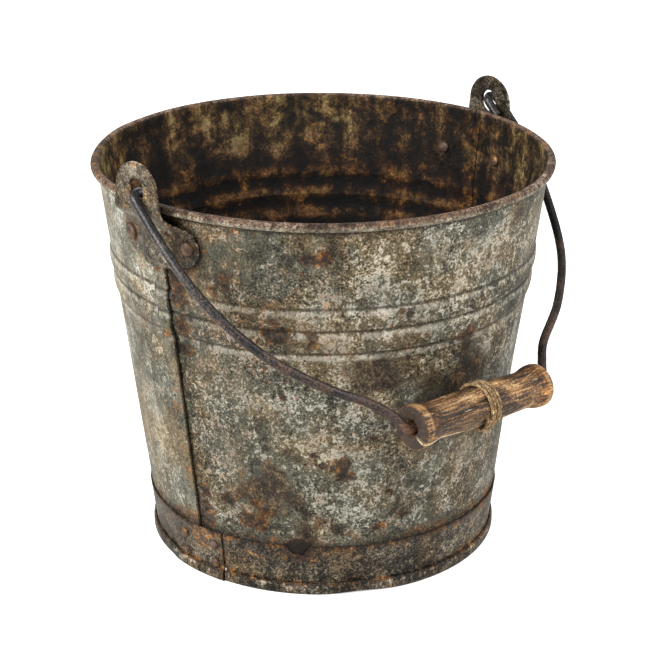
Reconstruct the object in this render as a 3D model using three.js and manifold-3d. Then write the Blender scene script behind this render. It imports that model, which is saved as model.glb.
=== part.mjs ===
// A galvanised pail: two half sheets locked together by folded seams, a rim rolled over a wire,
// a raised bottom, a riveted foot hoop, two riveted ears and a wire bail with a turned wooden grip.
// Millimetres, +Z up, X along the line between the ears, the bail hanging towards -Y.
import * as THREE from 'three';
import { mergeVertices } from 'three/addons/utils/BufferGeometryUtils.js';
import Module from 'manifold-3d';

const wasm = await Module();
wasm.setup();

// Body: one straight taper from the foot to the rim, measured on the outside of the sheet
const SHEET = 0.7;
const GAP = 0.3;
const TAPER = 0.1298;
const TAPER_Z = 35;
const TAPER_RADIUS = 113.2;
const WALL_BOTTOM = 7;
const SEAM_BOTTOM = 35.5;
const SEAM_TOP = 243;
const LEDGE = 4.5;
const HALF_FACETS = 24;

// The body's axis lies a little behind the line between the ears, as the ears were riveted on, and
// behind the origin, which is under the middle of the whole part with its bail down
const EAR_OFFSET = 4.5;
const AXIS_Y = 5.6;
const EAR_LINE_Y = AXIS_Y - EAR_OFFSET;

// Two half-round beads pressed outwards, one above the other
const BEAD_LOW = 168.5;
const BEAD_PITCH = 14.5;
const BEAD_COUNT = 2;
const BEAD_HEIGHT = 1.6;
const BEAD_STEPS = 4;

// Rim rolled outwards over a wire
const RIM_RADIUS = 145;
const RIM_TOP = 252.6;
const ROLL_RADIUS = 2.4;
const ROLL_END = -120;
const ROLL_STEPS = 7;
const RIM_WIRE_RADIUS = 1.7;
const RIM_WIRE_SIDES = 5;
const RIM_BUTT = 0.5;

// Folded lock seam, four layers of sheet
const SEAM_WIDTH = 8.4;
const SEAM_GAP = 0.25;
const SEAM_STEP = 3;

// Bottom: a flat disc with its flange turned down inside the wall
const BOTTOM_Z = 17;
const BOTTOM_SHEET = 0.8;
const FLANGE_BOTTOM = 8.2;
const BOTTOM_CORNER = 2;

// Foot hoop: a lapped band with its lower edge hemmed outwards
const HOOP_SHEET = 0.8;
const HOOP_TOP = 34;
const HEM_RADIUS = 112.8;
const HEM_HEIGHT = 7.4;
const HEM_STEPS = 5;
const HEM_LEAN = 90 / HEM_STEPS;
const HEM_CURL = 1.1;
const LAP_START = 173;
const LAP_END = 192.1;
const LAP_RAMP = 6;
const LAP_BUTT = 0.5;
const TONGUE_BOTTOM = 9;
const TONGUE_SHEET = 0.66;
const TONGUE_ROOT = 0.3;
const HOOP_RIVET_AZIMUTHS = [176.2, 189];
const HOOP_RIVET_HEIGHTS = [11.6, 25];

// Ears: a three-lobed plate, bent out past the rim to a flat tongue with a slotted hole
const EAR_SHEET = 1.6;
const EAR_HALF_WIDTH = 34;
const EAR_STEPS = 10;
const TONGUE_FACE = 152.4;
const TONGUE_TOP = 277;
const TONGUE_RADIUS = 17.8;
const TONGUE_BASE = 247.5;
const TONGUE_BASE_HALF = 19.4;
const FLANGE_TOP = 237;
const LOBE_X = 17.5;
const LOBE_Z = 227;
const LOBE_RADIUS = 13.7;
const EAR_BOTTOM = 211;
const HINGE_Z = 260.5;
const HOLE_Z = 260;
const HOLE_RADIUS = 6;
const HOLE_STRAIGHT = 2.6;
const LIP_HEIGHT = 0.7;
const LIP_WIDTH = 2;
const EAR_RIVET_SPREAD = 23.5;
const EAR_RIVET_Z = 226.5;
const LEFT_EAR_DROP = -1.9;
const RIGHT_EAR_DROP = 2.8;
const SEAM_CLEARANCE = 4;
const SEAM_RAMP = 6;

// Bail wire, in its own plane: u along the ears, v from the ear line towards the grip
const BAIL_RADIUS = 2.8;
const BAIL_SIDES = 8;
const REST_TILT = 44;
const HOOK_LENGTH = 15.5;
const HOOK_SHANK = 3;
const HOOK_STEPS = 8;
const HOOK_CLEARANCE = 0.7;
const ARM_STEPS = 20;
const LEFT_ARM = [
  [-157.5, 32], [-155, 62], [-147, 92], [-132, 120.6], [-104, 150.6], [-84, 166], [-73.6, 178.2],
];
const RIGHT_ARM = [
  [57, 182.6], [66, 172.6], [99, 150.6], [127, 121], [145, 82], [154, 50], [157.5, 26],
];

// Wooden grip on the straight of the bail
const GRIP_CENTRE = [-11.5, 192];
const GRIP_TURN = 3;
const GRIP_LENGTH = 110;
const GRIP_BORE = 4.6;
const GRIP_END_RADIUS = 13.7;
const GRIP_WAIST_RADIUS = 12.3;
const NECK_RADIUS = 11.6;
const NECK_START = 8;
const NECK_PLACE = 38;
const FLARE_END = 50;
const GRIP_ROUND = 2.5;
const BORE_CHAMFER = 1.5;
const WIRE_OUT_OF_GRIP = 2.5;
const WIRE_INTO_GRIP = 6;
const GRIP_FACETS = 24;
const GRIP_STATIONS = [22, 37, 42, 46, 50, 52.5];
const SPLIT_LENGTH = 36;
const SPLIT_WIDTH = 1.6;
const SPLIT_TURN = -105;

// Twine bound round the grip
const TWINE_PLACE = 2.4;
const TWINE_RADIUS = 1.05;
const TWINE_TURNS = 3.2;
const TWINE_PITCH = 2.2;
const TWINE_SIDES = 6;
const TWINE_STEPS = 14;
const KNOT_RADIUS = 2.2;
const KNOT_TURN = -70;

const radians = THREE.MathUtils.degToRad;
const LEFT_EAR = 180 + THREE.MathUtils.radToDeg(Math.asin(EAR_OFFSET / TONGUE_FACE));
const RIGHT_EAR = 540 - LEFT_EAR;

const material = (color, roughness, metalness) =>
  new THREE.MeshStandardMaterial({ color, roughness, metalness });

function spread(from, to, steps) {
  return Array.from({ length: steps + 1 }, (_, k) => from + (to - from) * k / steps);
}

function wallOutside(z) {
  return TAPER_RADIUS + (z - TAPER_Z) * TAPER;
}

function beadAt(z) {
  const place = (z - BEAD_LOW) / BEAD_PITCH;
  if (place <= 0 || place >= BEAD_COUNT) return 0;
  return BEAD_HEIGHT * Math.sin(Math.PI * (place % 1));
}

function wallInside(z) {
  return wallOutside(z) - SHEET + beadAt(z);
}

// A point at a radius, an azimuth in degrees and a height round the body's axis
function polar(radius, azimuth, z) {
  const turn = radians(azimuth);
  return new THREE.Vector3(radius * Math.cos(turn), AXIS_Y + radius * Math.sin(turn), z);
}

// A closed solid through rings of points, each ring with the same outline
function loft(outline, rings) {
  const clockwise = THREE.ShapeUtils.isClockWise(outline);
  const loop = clockwise ? [...outline].reverse() : outline;
  const ordered = clockwise ? rings.map((ring) => [...ring].reverse()) : rings;
  const count = loop.length;
  const last = (rings.length - 1) * count;
  const points = ordered.flat();
  const indices = [];
  for (let start = 0; start < last; start += count) {
    for (let k = 0; k < count; k += 1) {
      const a = start + k;
      const b = start + (k + 1) % count;
      indices.push(a, b, a + count, b, b + count, a + count);
    }
  }
  for (const [a, b, c] of THREE.ShapeUtils.triangulateShape(loop, [])) {
    indices.push(c, b, a, last + a, last + b, last + c);
  }
  return facingOut(new THREE.BufferGeometry().setFromPoints(points).setIndex(indices));
}

// Turns every face over where the solid is inside out
function facingOut(geometry) {
  const index = geometry.index.array;
  const position = geometry.attributes.position;
  const corners = [new THREE.Vector3(), new THREE.Vector3(), new THREE.Vector3()];
  let volume = 0;
  for (let k = 0; k < index.length; k += 3) {
    corners.forEach((corner, side) => corner.fromBufferAttribute(position, index[k + side]));
    volume += corners[0].dot(corners[1].cross(corners[2]));
  }
  if (volume < 0) index.reverse();
  return geometry;
}

// The outline of a strip of sheet that follows a path, half its thickness to each side
function ribbon(path, thickness) {
  const sides = [[], []];
  path.forEach((point, k) => {
    const before = path[Math.max(k - 1, 0)];
    const after = path[Math.min(k + 1, path.length - 1)];
    const into = (k ? point.clone().sub(before) : after.clone().sub(point)).normalize();
    const out = (k < path.length - 1 ? after.clone().sub(point) : into.clone()).normalize();
    const along = into.clone().add(out).normalize();
    const reach = thickness / 2 / along.dot(into);
    const across = new THREE.Vector2(-along.y, along.x).multiplyScalar(reach);
    sides[0].push(point.clone().add(across));
    sides[1].unshift(point.clone().sub(across));
  });
  return [...sides[0], ...sides[1]];
}

// Part of a revolve: a radius and height section carried round a list of azimuths
function revolve(section, azimuths, shift = () => 0) {
  const ring = (azimuth) => section.map((p) => polar(p.x + shift(azimuth), azimuth, p.y));
  return loft(section, azimuths.map(ring));
}

function fullRevolve(outline, facets) {
  const geometry = new THREE.LatheGeometry(outline, facets);
  return geometry.rotateX(Math.PI / 2).translate(0, AXIS_Y, 0);
}

function arc(x, y, radius, from, to, steps) {
  return spread(from, to, steps).map((degrees) => {
    const turn = radians(degrees);
    return new THREE.Vector2(x + radius * Math.cos(turn), y + radius * Math.sin(turn));
  });
}

function toSolid(geometry) {
  const bare = geometry.clone();
  bare.deleteAttribute('normal');
  bare.deleteAttribute('uv');
  const merged = mergeVertices(bare, 1e-4);
  return new wasm.Manifold(new wasm.Mesh({
    numProp: 3,
    vertProperties: new Float32Array(merged.attributes.position.array),
    triVerts: new Uint32Array(merged.index.array),
  }));
}

function toGeometry(solid) {
  const mesh = solid.getMesh();
  const geometry = new THREE.BufferGeometry();
  geometry.setAttribute('position', new THREE.BufferAttribute(mesh.vertProperties, 3));
  geometry.setIndex(new THREE.BufferAttribute(mesh.triVerts, 1));
  geometry.computeVertexNormals();
  return geometry;
}

function join(geometries) {
  return geometries.map(toSolid).reduce((whole, piece) => whole.add(piece));
}

const pail = new THREE.Group();

function add(parent, name, geometry, finish) {
  const mesh = new THREE.Mesh(geometry, finish);
  mesh.name = name;
  parent.add(mesh);
  return mesh;
}

const zinc = () => material(0x8a8d82, 0.6, 0.7);
const rustyZinc = () => material(0x77685a, 0.75, 0.5);
const rivetSteel = () => material(0x6a5443, 0.7, 0.6);

// Rivets: a domed head outside, a shank and a flatter tail inside
function rivetOutline(shank, head, headHeight, tail, tailHeight, grip) {
  const dome = (radius, height, from, sign) =>
    spread(0, 90, 3).map((degrees) => new THREE.Vector2(
      radius * Math.cos(radians(degrees)), from + sign * height * Math.sin(radians(degrees))));
  return [
    ...dome(tail, tailHeight, 0, -1).reverse(),
    new THREE.Vector2(shank, 0),
    new THREE.Vector2(shank, grip),
    ...dome(head, headHeight, grip, 1),
  ].map((p) => new THREE.Vector2(Math.max(p.x, 0), p.y));
}

// Places a shape made along +Y square to the wall, with its zero a given depth inside the sheet
function squareToWall(geometry, azimuth, z, depth) {
  const turn = radians(azimuth);
  const normal = new THREE.Vector3(Math.cos(turn), Math.sin(turn), -TAPER).normalize();
  const onto = new THREE.Quaternion().setFromUnitVectors(new THREE.Vector3(0, 1, 0), normal);
  const origin = polar(wallOutside(z) - SHEET, azimuth, z).addScaledVector(normal, -depth);
  return geometry.applyQuaternion(onto).translate(origin.x, origin.y, origin.z);
}

const EAR_RIVET = { shank: 2.5, head: 4.6, headHeight: 2.6, tail: 3.8, tailHeight: 1.7 };
const HOOP_RIVET = { shank: 1.5, head: 3, headHeight: 1.8, tail: 2.4, tailHeight: 1.2 };
const BORE_LENGTH = 30;
const RIVET_FACETS = 10;
const TAIL_GAP = 0.75;

function rivet({ shank, head, headHeight, tail, tailHeight }, azimuth, z, depth, grip) {
  const outline = rivetOutline(shank, head, headHeight, tail, tailHeight, grip + TAIL_GAP + GAP);
  return squareToWall(new THREE.LatheGeometry(outline, RIVET_FACETS), azimuth, z, depth + TAIL_GAP);
}

function rivetBore({ shank }, azimuth, z) {
  const bore = new THREE.CylinderGeometry(shank + GAP, shank + GAP, BORE_LENGTH, RIVET_FACETS);
  return toSolid(squareToWall(bore, azimuth, z, 0));
}

const ears = [
  { side: 'left', azimuth: LEFT_EAR, drop: LEFT_EAR_DROP },
  { side: 'right', azimuth: RIGHT_EAR, drop: RIGHT_EAR_DROP },
];
const earRivets = ears.flatMap(({ side, azimuth, drop }) => [-1, 1].map((way, k) => {
  const swing = THREE.MathUtils.radToDeg(way * EAR_RIVET_SPREAD / wallOutside(EAR_RIVET_Z));
  return { name: `${side}_ear_rivet_${k + 1}`, azimuth: azimuth + swing, z: EAR_RIVET_Z - drop };
}));
const hoopRivets = HOOP_RIVET_HEIGHTS.flatMap((z) =>
  HOOP_RIVET_AZIMUTHS.map((azimuth) => ({ azimuth, z })));
const earBores = earRivets.map(({ azimuth, z }) => rivetBore(EAR_RIVET, azimuth, z));
const hoopBores = hoopRivets.map(({ azimuth, z }) => rivetBore(HOOP_RIVET, azimuth, z));

const drilled = (solid, bores) => bores.reduce((whole, bore) => whole.subtract(bore), solid);

// Half sheet: its plan has an under hook at the start and an over hook at the end, so that two
// like sheets lock into each other. Each point is a share of the sweep, a step in millimetres
// along the wall and a height above the sheet's inside face.
function panelPlan() {
  const t = SHEET;
  const g = SEAM_GAP;
  const half = SEAM_WIDTH / 2;
  const stepFoot = half + g + SEAM_STEP;
  const between = spread(0, 1, HALF_FACETS).slice(1, -1);
  const over = [
    [-stepFoot, 0], [-half - g, 3 * t + 3 * g], [half - t, 3 * t + 3 * g],
    [half - t, 2 * t + g], [-half + t + g, 2 * t + g], [-half + t + g, t + g],
    [half, t + g], [half, 4 * t + 3 * g], [-half - g - t / 2, 4 * t + 3 * g],
    [-stepFoot - t / 2, t],
  ];
  const under = [
    [-half + t, t], [-half + t, 2 * t + 2 * g], [half - t - g, 2 * t + 2 * g],
    [half - t - g, 3 * t + 2 * g], [-half, 3 * t + 2 * g], [-half, 0],
  ];
  return [
    ...between.map((share) => [share, 0, 0]),
    ...over.map(([step, height]) => [1, step, height]),
    ...between.reverse().map((share) => [share, 0, t]),
    ...under.map(([step, height]) => [0, step, height]),
  ];
}

function panel(from, to, bores) {
  const plan = panelPlan();
  const planRing = (z) => plan.map(([share, step, height]) => {
    const radius = wallInside(z);
    const azimuth = from + (to - from) * share + THREE.MathUtils.radToDeg(step / radius);
    return polar(radius + height, azimuth, z);
  });
  const beadTop = BEAD_LOW + BEAD_PITCH * BEAD_COUNT;
  const levels = [SEAM_BOTTOM, ...spread(BEAD_LOW, beadTop, BEAD_STEPS * BEAD_COUNT), SEAM_TOP];
  const rings = levels.map(planRing);
  const seamed = loft(rings[0].map((p) => new THREE.Vector2(p.x, p.y)), rings);

  const middle = (z) => wallOutside(z) - SHEET / 2;
  const azimuths = spread(from, to, HALF_FACETS);
  const butt = THREE.MathUtils.radToDeg(RIM_BUTT / RIM_RADIUS);
  azimuths[0] += butt;
  azimuths[HALF_FACETS] -= butt;

  const rollX = RIM_RADIUS - ROLL_RADIUS - SHEET / 2;
  const rollZ = RIM_TOP - ROLL_RADIUS - SHEET / 2;
  const roll = [
    new THREE.Vector2(middle(SEAM_TOP), SEAM_TOP),
    ...arc(rollX, rollZ, ROLL_RADIUS, 180, ROLL_END, ROLL_STEPS),
  ];
  const base = [
    new THREE.Vector2(middle(SEAM_BOTTOM), SEAM_BOTTOM),
    new THREE.Vector2(middle(WALL_BOTTOM), WALL_BOTTOM + SHEET / 2),
    new THREE.Vector2(middle(WALL_BOTTOM) - LEDGE, WALL_BOTTOM + SHEET / 2),
  ];
  const level = (section, z) => section.map((p) =>
    (Math.abs(p.y - z) < SHEET ? new THREE.Vector2(p.x, z) : p));
  const rim = revolve(level(ribbon(roll, SHEET), SEAM_TOP), azimuths);
  const foot = revolve(level(ribbon(base, SHEET), SEAM_BOTTOM), azimuths);
  return toGeometry(drilled(join([seamed, rim, foot]), bores));
}

add(pail, 'front_wall', panel(LEFT_EAR, RIGHT_EAR, [...earBores, ...hoopBores]), zinc());
add(pail, 'rear_wall', panel(RIGHT_EAR - 360, LEFT_EAR, [...earBores, ...hoopBores]), zinc());

// Wire inside the rolled rim
const rimWire = arc(RIM_RADIUS - ROLL_RADIUS - SHEET / 2, RIM_TOP - ROLL_RADIUS - SHEET / 2,
  RIM_WIRE_RADIUS, 0, 360, RIM_WIRE_SIDES);
add(pail, 'rim_wire', fullRevolve(rimWire, 2 * HALF_FACETS), rustyZinc());

// Bottom disc, its flange inside the wall and standing on the wall's turned-in ledge
const flangeRadius = (z) => wallInside(z) - GAP - BOTTOM_SHEET / 2;
const bottomPath = [
  new THREE.Vector2(0, BOTTOM_Z),
  new THREE.Vector2(flangeRadius(BOTTOM_Z) - BOTTOM_CORNER, BOTTOM_Z),
  new THREE.Vector2(flangeRadius(BOTTOM_Z) - 0.3 * BOTTOM_CORNER, BOTTOM_Z - 0.3 * BOTTOM_CORNER),
  new THREE.Vector2(flangeRadius(BOTTOM_Z - BOTTOM_CORNER), BOTTOM_Z - BOTTOM_CORNER),
  new THREE.Vector2(flangeRadius(FLANGE_BOTTOM), FLANGE_BOTTOM),
];
const bottom = fullRevolve(ribbon(bottomPath, BOTTOM_SHEET).reverse(), 2 * HALF_FACETS);
add(pail, 'bottom_disc', toGeometry(drilled(toSolid(bottom), hoopBores)), rustyZinc());

// Foot hoop: the band laps over its own start, which has no hem there
function footHoop() {
  const bandRadius = (z) => wallOutside(z) + GAP + HOOP_SHEET / 2;
  const outerLeg = HEM_RADIUS - HOOP_SHEET / 2;
  const turn = (outerLeg - bandRadius(2)) / 2;
  const turnZ = turn * Math.cos(radians(HEM_LEAN)) + HOOP_SHEET / 2;
  const hemmed = ribbon([
    new THREE.Vector2(bandRadius(HOOP_TOP), HOOP_TOP),
    ...arc(outerLeg - turn, turnZ, turn, 180, 360, HEM_STEPS),
    new THREE.Vector2(outerLeg, HEM_HEIGHT - HEM_CURL),
    new THREE.Vector2(outerLeg - HEM_CURL, HEM_HEIGHT),
  ], HOOP_SHEET);
  const tongueFoot = new THREE.Vector2(bandRadius(TONGUE_BOTTOM), TONGUE_BOTTOM);
  const tongueTop = new THREE.Vector2(bandRadius(HOOP_TOP - 1), HOOP_TOP - 1);
  const plain = ribbon([tongueTop, tongueFoot], TONGUE_SHEET);
  const mainStart = LAP_END + LAP_BUTT;
  const rampEnd = 360 + LAP_START - 1;
  const rampStart = rampEnd - LAP_RAMP;
  const lift = (azimuth) => (HOOP_SHEET + GAP)
    * THREE.MathUtils.clamp((azimuth - rampStart) / LAP_RAMP, 0, 1);
  const around = [
    ...spread(mainStart, rampStart, 2 * HALF_FACETS - 8),
    ...spread(rampEnd, 360 + LAP_END, 3),
  ];
  const band = revolve(hemmed, around, lift);
  const tongue = revolve(plain, spread(LAP_START, mainStart + TONGUE_ROOT, 3));
  return toGeometry(drilled(join([band, tongue]), hoopBores));
}
add(pail, 'foot_hoop', footHoop(), rustyZinc());

hoopRivets.forEach(({ azimuth, z }, k) => {
  const throughFlange = z < BOTTOM_Z;
  const depth = throughFlange ? GAP + BOTTOM_SHEET : 0;
  const grip = depth + SHEET + 2 * GAP + 2 * HOOP_SHEET;
  add(pail, `hoop_rivet_${k + 1}`, rivet(HOOP_RIVET, azimuth, z, depth, grip), rivetSteel());
});

// Ear: the blank is cut from a plate that lies on the wall, clears the seam and bends out to the
// tongue. Its own axes are x outwards, y along the wall and z up.
function earBlank() {
  const shape = new THREE.Shape();
  const topZ = TONGUE_TOP - TONGUE_RADIUS;
  const shoulder = LOBE_Z + LOBE_RADIUS;
  shape.moveTo(TONGUE_RADIUS, topZ);
  shape.absarc(0, topZ, TONGUE_RADIUS, 0, Math.PI, false);
  shape.lineTo(-TONGUE_BASE_HALF, TONGUE_BASE);
  shape.quadraticCurveTo(-TONGUE_BASE_HALF, shoulder, -LOBE_X - 2, shoulder - 0.3);
  shape.absarc(-LOBE_X, LOBE_Z, LOBE_RADIUS, radians(100), radians(262), false);
  shape.quadraticCurveTo(0, EAR_BOTTOM - 3, LOBE_X, LOBE_Z - LOBE_RADIUS);
  shape.absarc(LOBE_X, LOBE_Z, LOBE_RADIUS, radians(278), radians(440), false);
  shape.quadraticCurveTo(TONGUE_BASE_HALF, shoulder, TONGUE_BASE_HALF, TONGUE_BASE);
  return shape;
}

function slot(radius) {
  const shape = new THREE.Shape();
  const top = HOLE_Z + HOLE_STRAIGHT / 2;
  shape.absarc(0, top, radius, 0, Math.PI, false);
  shape.absarc(0, top - HOLE_STRAIGHT, radius, Math.PI, 2 * Math.PI, false);
  return shape;
}

// Stands an outline drawn in y and z up and gives it a depth along x
function upright(shape, from, depth, curveSegments) {
  const geometry = new THREE.ExtrudeGeometry(shape, { depth, bevelEnabled: false, curveSegments });
  const toWall = new THREE.Matrix4().makeBasis(
    new THREE.Vector3(0, 1, 0), new THREE.Vector3(0, 0, 1), new THREE.Vector3(1, 0, 0));
  return geometry.applyMatrix4(toWall).translate(from, 0, 0);
}

function ear({ azimuth, drop }) {
  const rest = wallOutside(0) + GAP + EAR_SHEET / 2;
  const onWall = (z) => new THREE.Vector2(rest + z * TAPER, z);
  const tongueX = TONGUE_FACE + EAR_SHEET / 2;
  const path = [
    onWall(EAR_BOTTOM - 4),
    onWall(FLANGE_TOP - 2),
    onWall(FLANGE_TOP).add(new THREE.Vector2(0.8, 0)),
    new THREE.Vector2(tongueX - 1.2, TONGUE_BASE - 1.6),
    new THREE.Vector2(tongueX, TONGUE_BASE + 0.6),
    new THREE.Vector2(tongueX, TONGUE_TOP + 4),
  ];
  const section = ribbon(path, EAR_SHEET);
  const seamReach = SEAM_WIDTH / 2 + SEAM_CLEARANCE;
  const seamRise = 3 * (SHEET + SEAM_GAP) + GAP;
  const across = spread(-EAR_HALF_WIDTH, EAR_HALF_WIDTH, EAR_STEPS);
  const rings = across.map((y) => section.map((p) => {
    const flat = THREE.MathUtils.smoothstep(p.y, FLANGE_TOP - 4, TONGUE_BASE);
    const curl = (p.x - Math.sqrt(p.x * p.x - y * y)) * (1 - flat);
    const past = THREE.MathUtils.smoothstep(Math.abs(y), seamReach, seamReach + SEAM_RAMP);
    const over = seamRise * (1 - past);
    return new THREE.Vector3(p.x - curl + over * (1 - flat), y, p.y);
  }));
  const plate = loft(section, rings);
  const blank = toSolid(upright(earBlank(), wallOutside(EAR_BOTTOM) - 20, 60, 8));
  const lip = upright(slot(HOLE_RADIUS + LIP_WIDTH), TONGUE_FACE - LIP_HEIGHT, LIP_HEIGHT + 1, 8);
  const hole = toSolid(upright(slot(HOLE_RADIUS), TONGUE_FACE - 10, 20, 8));
  const cut = toSolid(plate).intersect(blank).add(toSolid(lip)).subtract(hole);
  const placed = toGeometry(cut).translate(-drop * TAPER, 0, -drop).rotateZ(radians(azimuth));
  return toGeometry(drilled(toSolid(placed.translate(0, AXIS_Y, 0)), earBores));
}
ears.forEach((place) => add(pail, `${place.side}_ear`, ear(place), rustyZinc()));

earRivets.forEach(({ name, azimuth, z }) => {
  const grip = SHEET + GAP + EAR_SHEET;
  add(pail, name, rivet(EAR_RIVET, azimuth, z, 0, grip), rivetSteel());
});

// Round wire that follows a path in the plane of x and y
function wire(path, radius, sides) {
  const circle = arc(0, 0, radius, 0, 360, sides).slice(0, sides);
  const rings = path.map((point, k) => {
    const before = path[Math.max(k - 1, 0)];
    const after = path[Math.min(k + 1, path.length - 1)];
    const along = after.clone().sub(before).normalize();
    const across = new THREE.Vector2(-along.y, along.x);
    return circle.map((c) => new THREE.Vector3(
      point.x + c.x * across.x, point.y + c.x * across.y, c.y));
  });
  return loft(circle, rings);
}

// Bail: a hook through each ear, an arm down to the grip on either side and a straight between
function bailPath() {
  const outside = TONGUE_FACE + EAR_SHEET + HOOK_CLEARANCE + BAIL_RADIUS;
  const inside = TONGUE_FACE - LIP_HEIGHT - HOOK_CLEARANCE - BAIL_RADIUS;
  const bend = (outside - inside) / 2;
  const centre = (outside + inside) / 2;
  const turn = radians(GRIP_TURN);
  const along = new THREE.Vector2(Math.cos(turn), Math.sin(turn));
  const [gripU, gripV] = GRIP_CENTRE;
  const onGrip = (reach) => new THREE.Vector2(gripU, gripV).addScaledVector(along, reach);
  const straight = GRIP_LENGTH / 2;
  const arm = (points) => new THREE.CatmullRomCurve3(
    points.map((p) => new THREE.Vector3(p.x, p.y, 0)), false, 'centripetal')
    .getPoints(ARM_STEPS).map((p) => new THREE.Vector2(p.x, p.y));
  const listed = (points) => points.map(([u, v]) => new THREE.Vector2(u, v));
  const leftArm = arm([
    new THREE.Vector2(-outside, bend + HOOK_SHANK), ...listed(LEFT_ARM),
    onGrip(-straight - WIRE_OUT_OF_GRIP), onGrip(WIRE_INTO_GRIP - straight),
  ]);
  const rightArm = arm([
    onGrip(straight - WIRE_INTO_GRIP), onGrip(straight + WIRE_OUT_OF_GRIP),
    ...listed(RIGHT_ARM), new THREE.Vector2(outside, bend + HOOK_SHANK),
  ]);
  return [
    new THREE.Vector2(-inside, HOOK_LENGTH),
    ...arc(-centre, bend, bend, 360, 180, HOOK_STEPS),
    ...leftArm,
    ...rightArm,
    ...arc(centre, bend, bend, 360, 180, HOOK_STEPS),
    new THREE.Vector2(inside, HOOK_LENGTH),
  ];
}

const bailGroup = new THREE.Group();
bailGroup.position.set(0, EAR_LINE_Y, HINGE_Z);
bailGroup.rotation.x = Math.PI + radians(REST_TILT);
pail.add(bailGroup);
add(bailGroup, 'bail', wire(bailPath(), BAIL_RADIUS, BAIL_SIDES), material(0x4a423d, 0.55, 0.8));

// Grip: turned with a flared end and a bore, split along its underside at the left end
const gripGroup = new THREE.Group();
gripGroup.position.set(GRIP_CENTRE[0], GRIP_CENTRE[1], 0);
gripGroup.rotation.z = radians(GRIP_TURN) - Math.PI / 2;
bailGroup.add(gripGroup);

function gripRadius(y) {
  const reach = Math.abs(y);
  const narrowing = THREE.MathUtils.smoothstep(reach, NECK_START, NECK_PLACE);
  const flare = THREE.MathUtils.smoothstep(reach, NECK_PLACE, FLARE_END);
  const neck = GRIP_WAIST_RADIUS + (NECK_RADIUS - GRIP_WAIST_RADIUS) * narrowing;
  return neck + (GRIP_END_RADIUS - NECK_RADIUS) * flare;
}

function grip() {
  const half = GRIP_LENGTH / 2;
  const stations = [...GRIP_STATIONS.map((y) => -y).reverse(), 0, ...GRIP_STATIONS];
  const side = stations.map((y) => new THREE.Vector2(gripRadius(y), y));
  const outline = [
    new THREE.Vector2(GRIP_BORE, -half + BORE_CHAMFER),
    new THREE.Vector2(GRIP_BORE + BORE_CHAMFER, -half),
    new THREE.Vector2(GRIP_END_RADIUS - GRIP_ROUND, -half),
    ...side,
    new THREE.Vector2(GRIP_END_RADIUS - GRIP_ROUND, half),
    new THREE.Vector2(GRIP_BORE + BORE_CHAMFER, half),
    new THREE.Vector2(GRIP_BORE, half - BORE_CHAMFER),
    new THREE.Vector2(GRIP_BORE, -half + BORE_CHAMFER),
  ];
  const split = new THREE.Shape([
    new THREE.Vector2(-SPLIT_WIDTH / 2, -half - 1),
    new THREE.Vector2(SPLIT_WIDTH / 2, -half - 1),
    new THREE.Vector2(0, -half + SPLIT_LENGTH),
  ]);
  const wedge = new THREE.ExtrudeGeometry(split, { depth: GRIP_END_RADIUS, bevelEnabled: false });
  wedge.translate(0, 0, GRIP_BORE + 2).rotateY(radians(SPLIT_TURN));
  const turned = toSolid(new THREE.LatheGeometry(outline, GRIP_FACETS));
  return toGeometry(turned.subtract(toSolid(wedge)));
}
add(gripGroup, 'wooden_grip', grip(), material(0x6d4a2c, 0.8, 0));

// Twine: a few close turns round the grip's waist with a knot and two ends underneath
function twine() {
  const reach = GRIP_WAIST_RADIUS + GAP + TWINE_RADIUS;
  const circle = arc(0, 0, TWINE_RADIUS, 0, 360, TWINE_SIDES).slice(0, TWINE_SIDES);
  const knotTurn = radians(KNOT_TURN);
  const turns = spread(0, TWINE_TURNS, Math.round(TWINE_STEPS * TWINE_TURNS)).map((turn) => {
    const angle = knotTurn + 2 * Math.PI * turn;
    const y = TWINE_PLACE + (turn - TWINE_TURNS / 2) * TWINE_PITCH;
    return circle.map((c) => {
      const radius = reach + c.x;
      return new THREE.Vector3(radius * Math.sin(angle), y + c.y, radius * Math.cos(angle));
    });
  });
  const knot = new THREE.SphereGeometry(KNOT_RADIUS, 10, 6).scale(1, 1.5, 0.75);
  knot.translate(0, TWINE_PLACE - TWINE_TURNS / 2 * TWINE_PITCH + 1.5, reach + 0.9);
  knot.rotateY(knotTurn);
  return toGeometry(toSolid(loft(circle, turns)).add(toSolid(knot)));
}
add(gripGroup, 'twine_binding', twine(), material(0x8c775a, 0.95, 0));

export default pail;
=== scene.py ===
# %% [markdown]
# A galvanised pail that has stood outdoors for years. Two half sheets of zinc-coated steel are folded
# into each other at the sides, the rim is rolled over a wire, and a hoop is riveted round the foot.
# Two ears carry a wire bail with a turned wooden grip, and somebody bound the grip with twine.
# The frame gives the place of every piece. Here each piece is made again finely enough for a close
# look, and given the dents, rust and dirt of its age.

# %% Load the frame and note its size
import math

import bpy
import numpy as np
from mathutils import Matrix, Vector
from mathutils.geometry import delaunay_2d_cdt


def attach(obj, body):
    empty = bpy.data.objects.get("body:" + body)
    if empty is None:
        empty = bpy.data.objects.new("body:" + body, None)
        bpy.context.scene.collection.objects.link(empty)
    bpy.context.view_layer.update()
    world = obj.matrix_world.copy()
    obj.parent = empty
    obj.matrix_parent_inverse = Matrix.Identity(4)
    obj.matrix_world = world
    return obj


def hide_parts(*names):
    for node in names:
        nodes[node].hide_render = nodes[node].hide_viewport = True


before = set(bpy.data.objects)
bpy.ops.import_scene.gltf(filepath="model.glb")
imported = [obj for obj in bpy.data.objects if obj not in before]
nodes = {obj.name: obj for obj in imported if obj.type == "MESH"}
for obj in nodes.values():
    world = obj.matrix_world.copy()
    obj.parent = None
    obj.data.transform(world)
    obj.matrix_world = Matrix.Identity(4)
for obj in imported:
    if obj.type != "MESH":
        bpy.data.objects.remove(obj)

MM = 0.001
scene = bpy.context.scene
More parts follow.
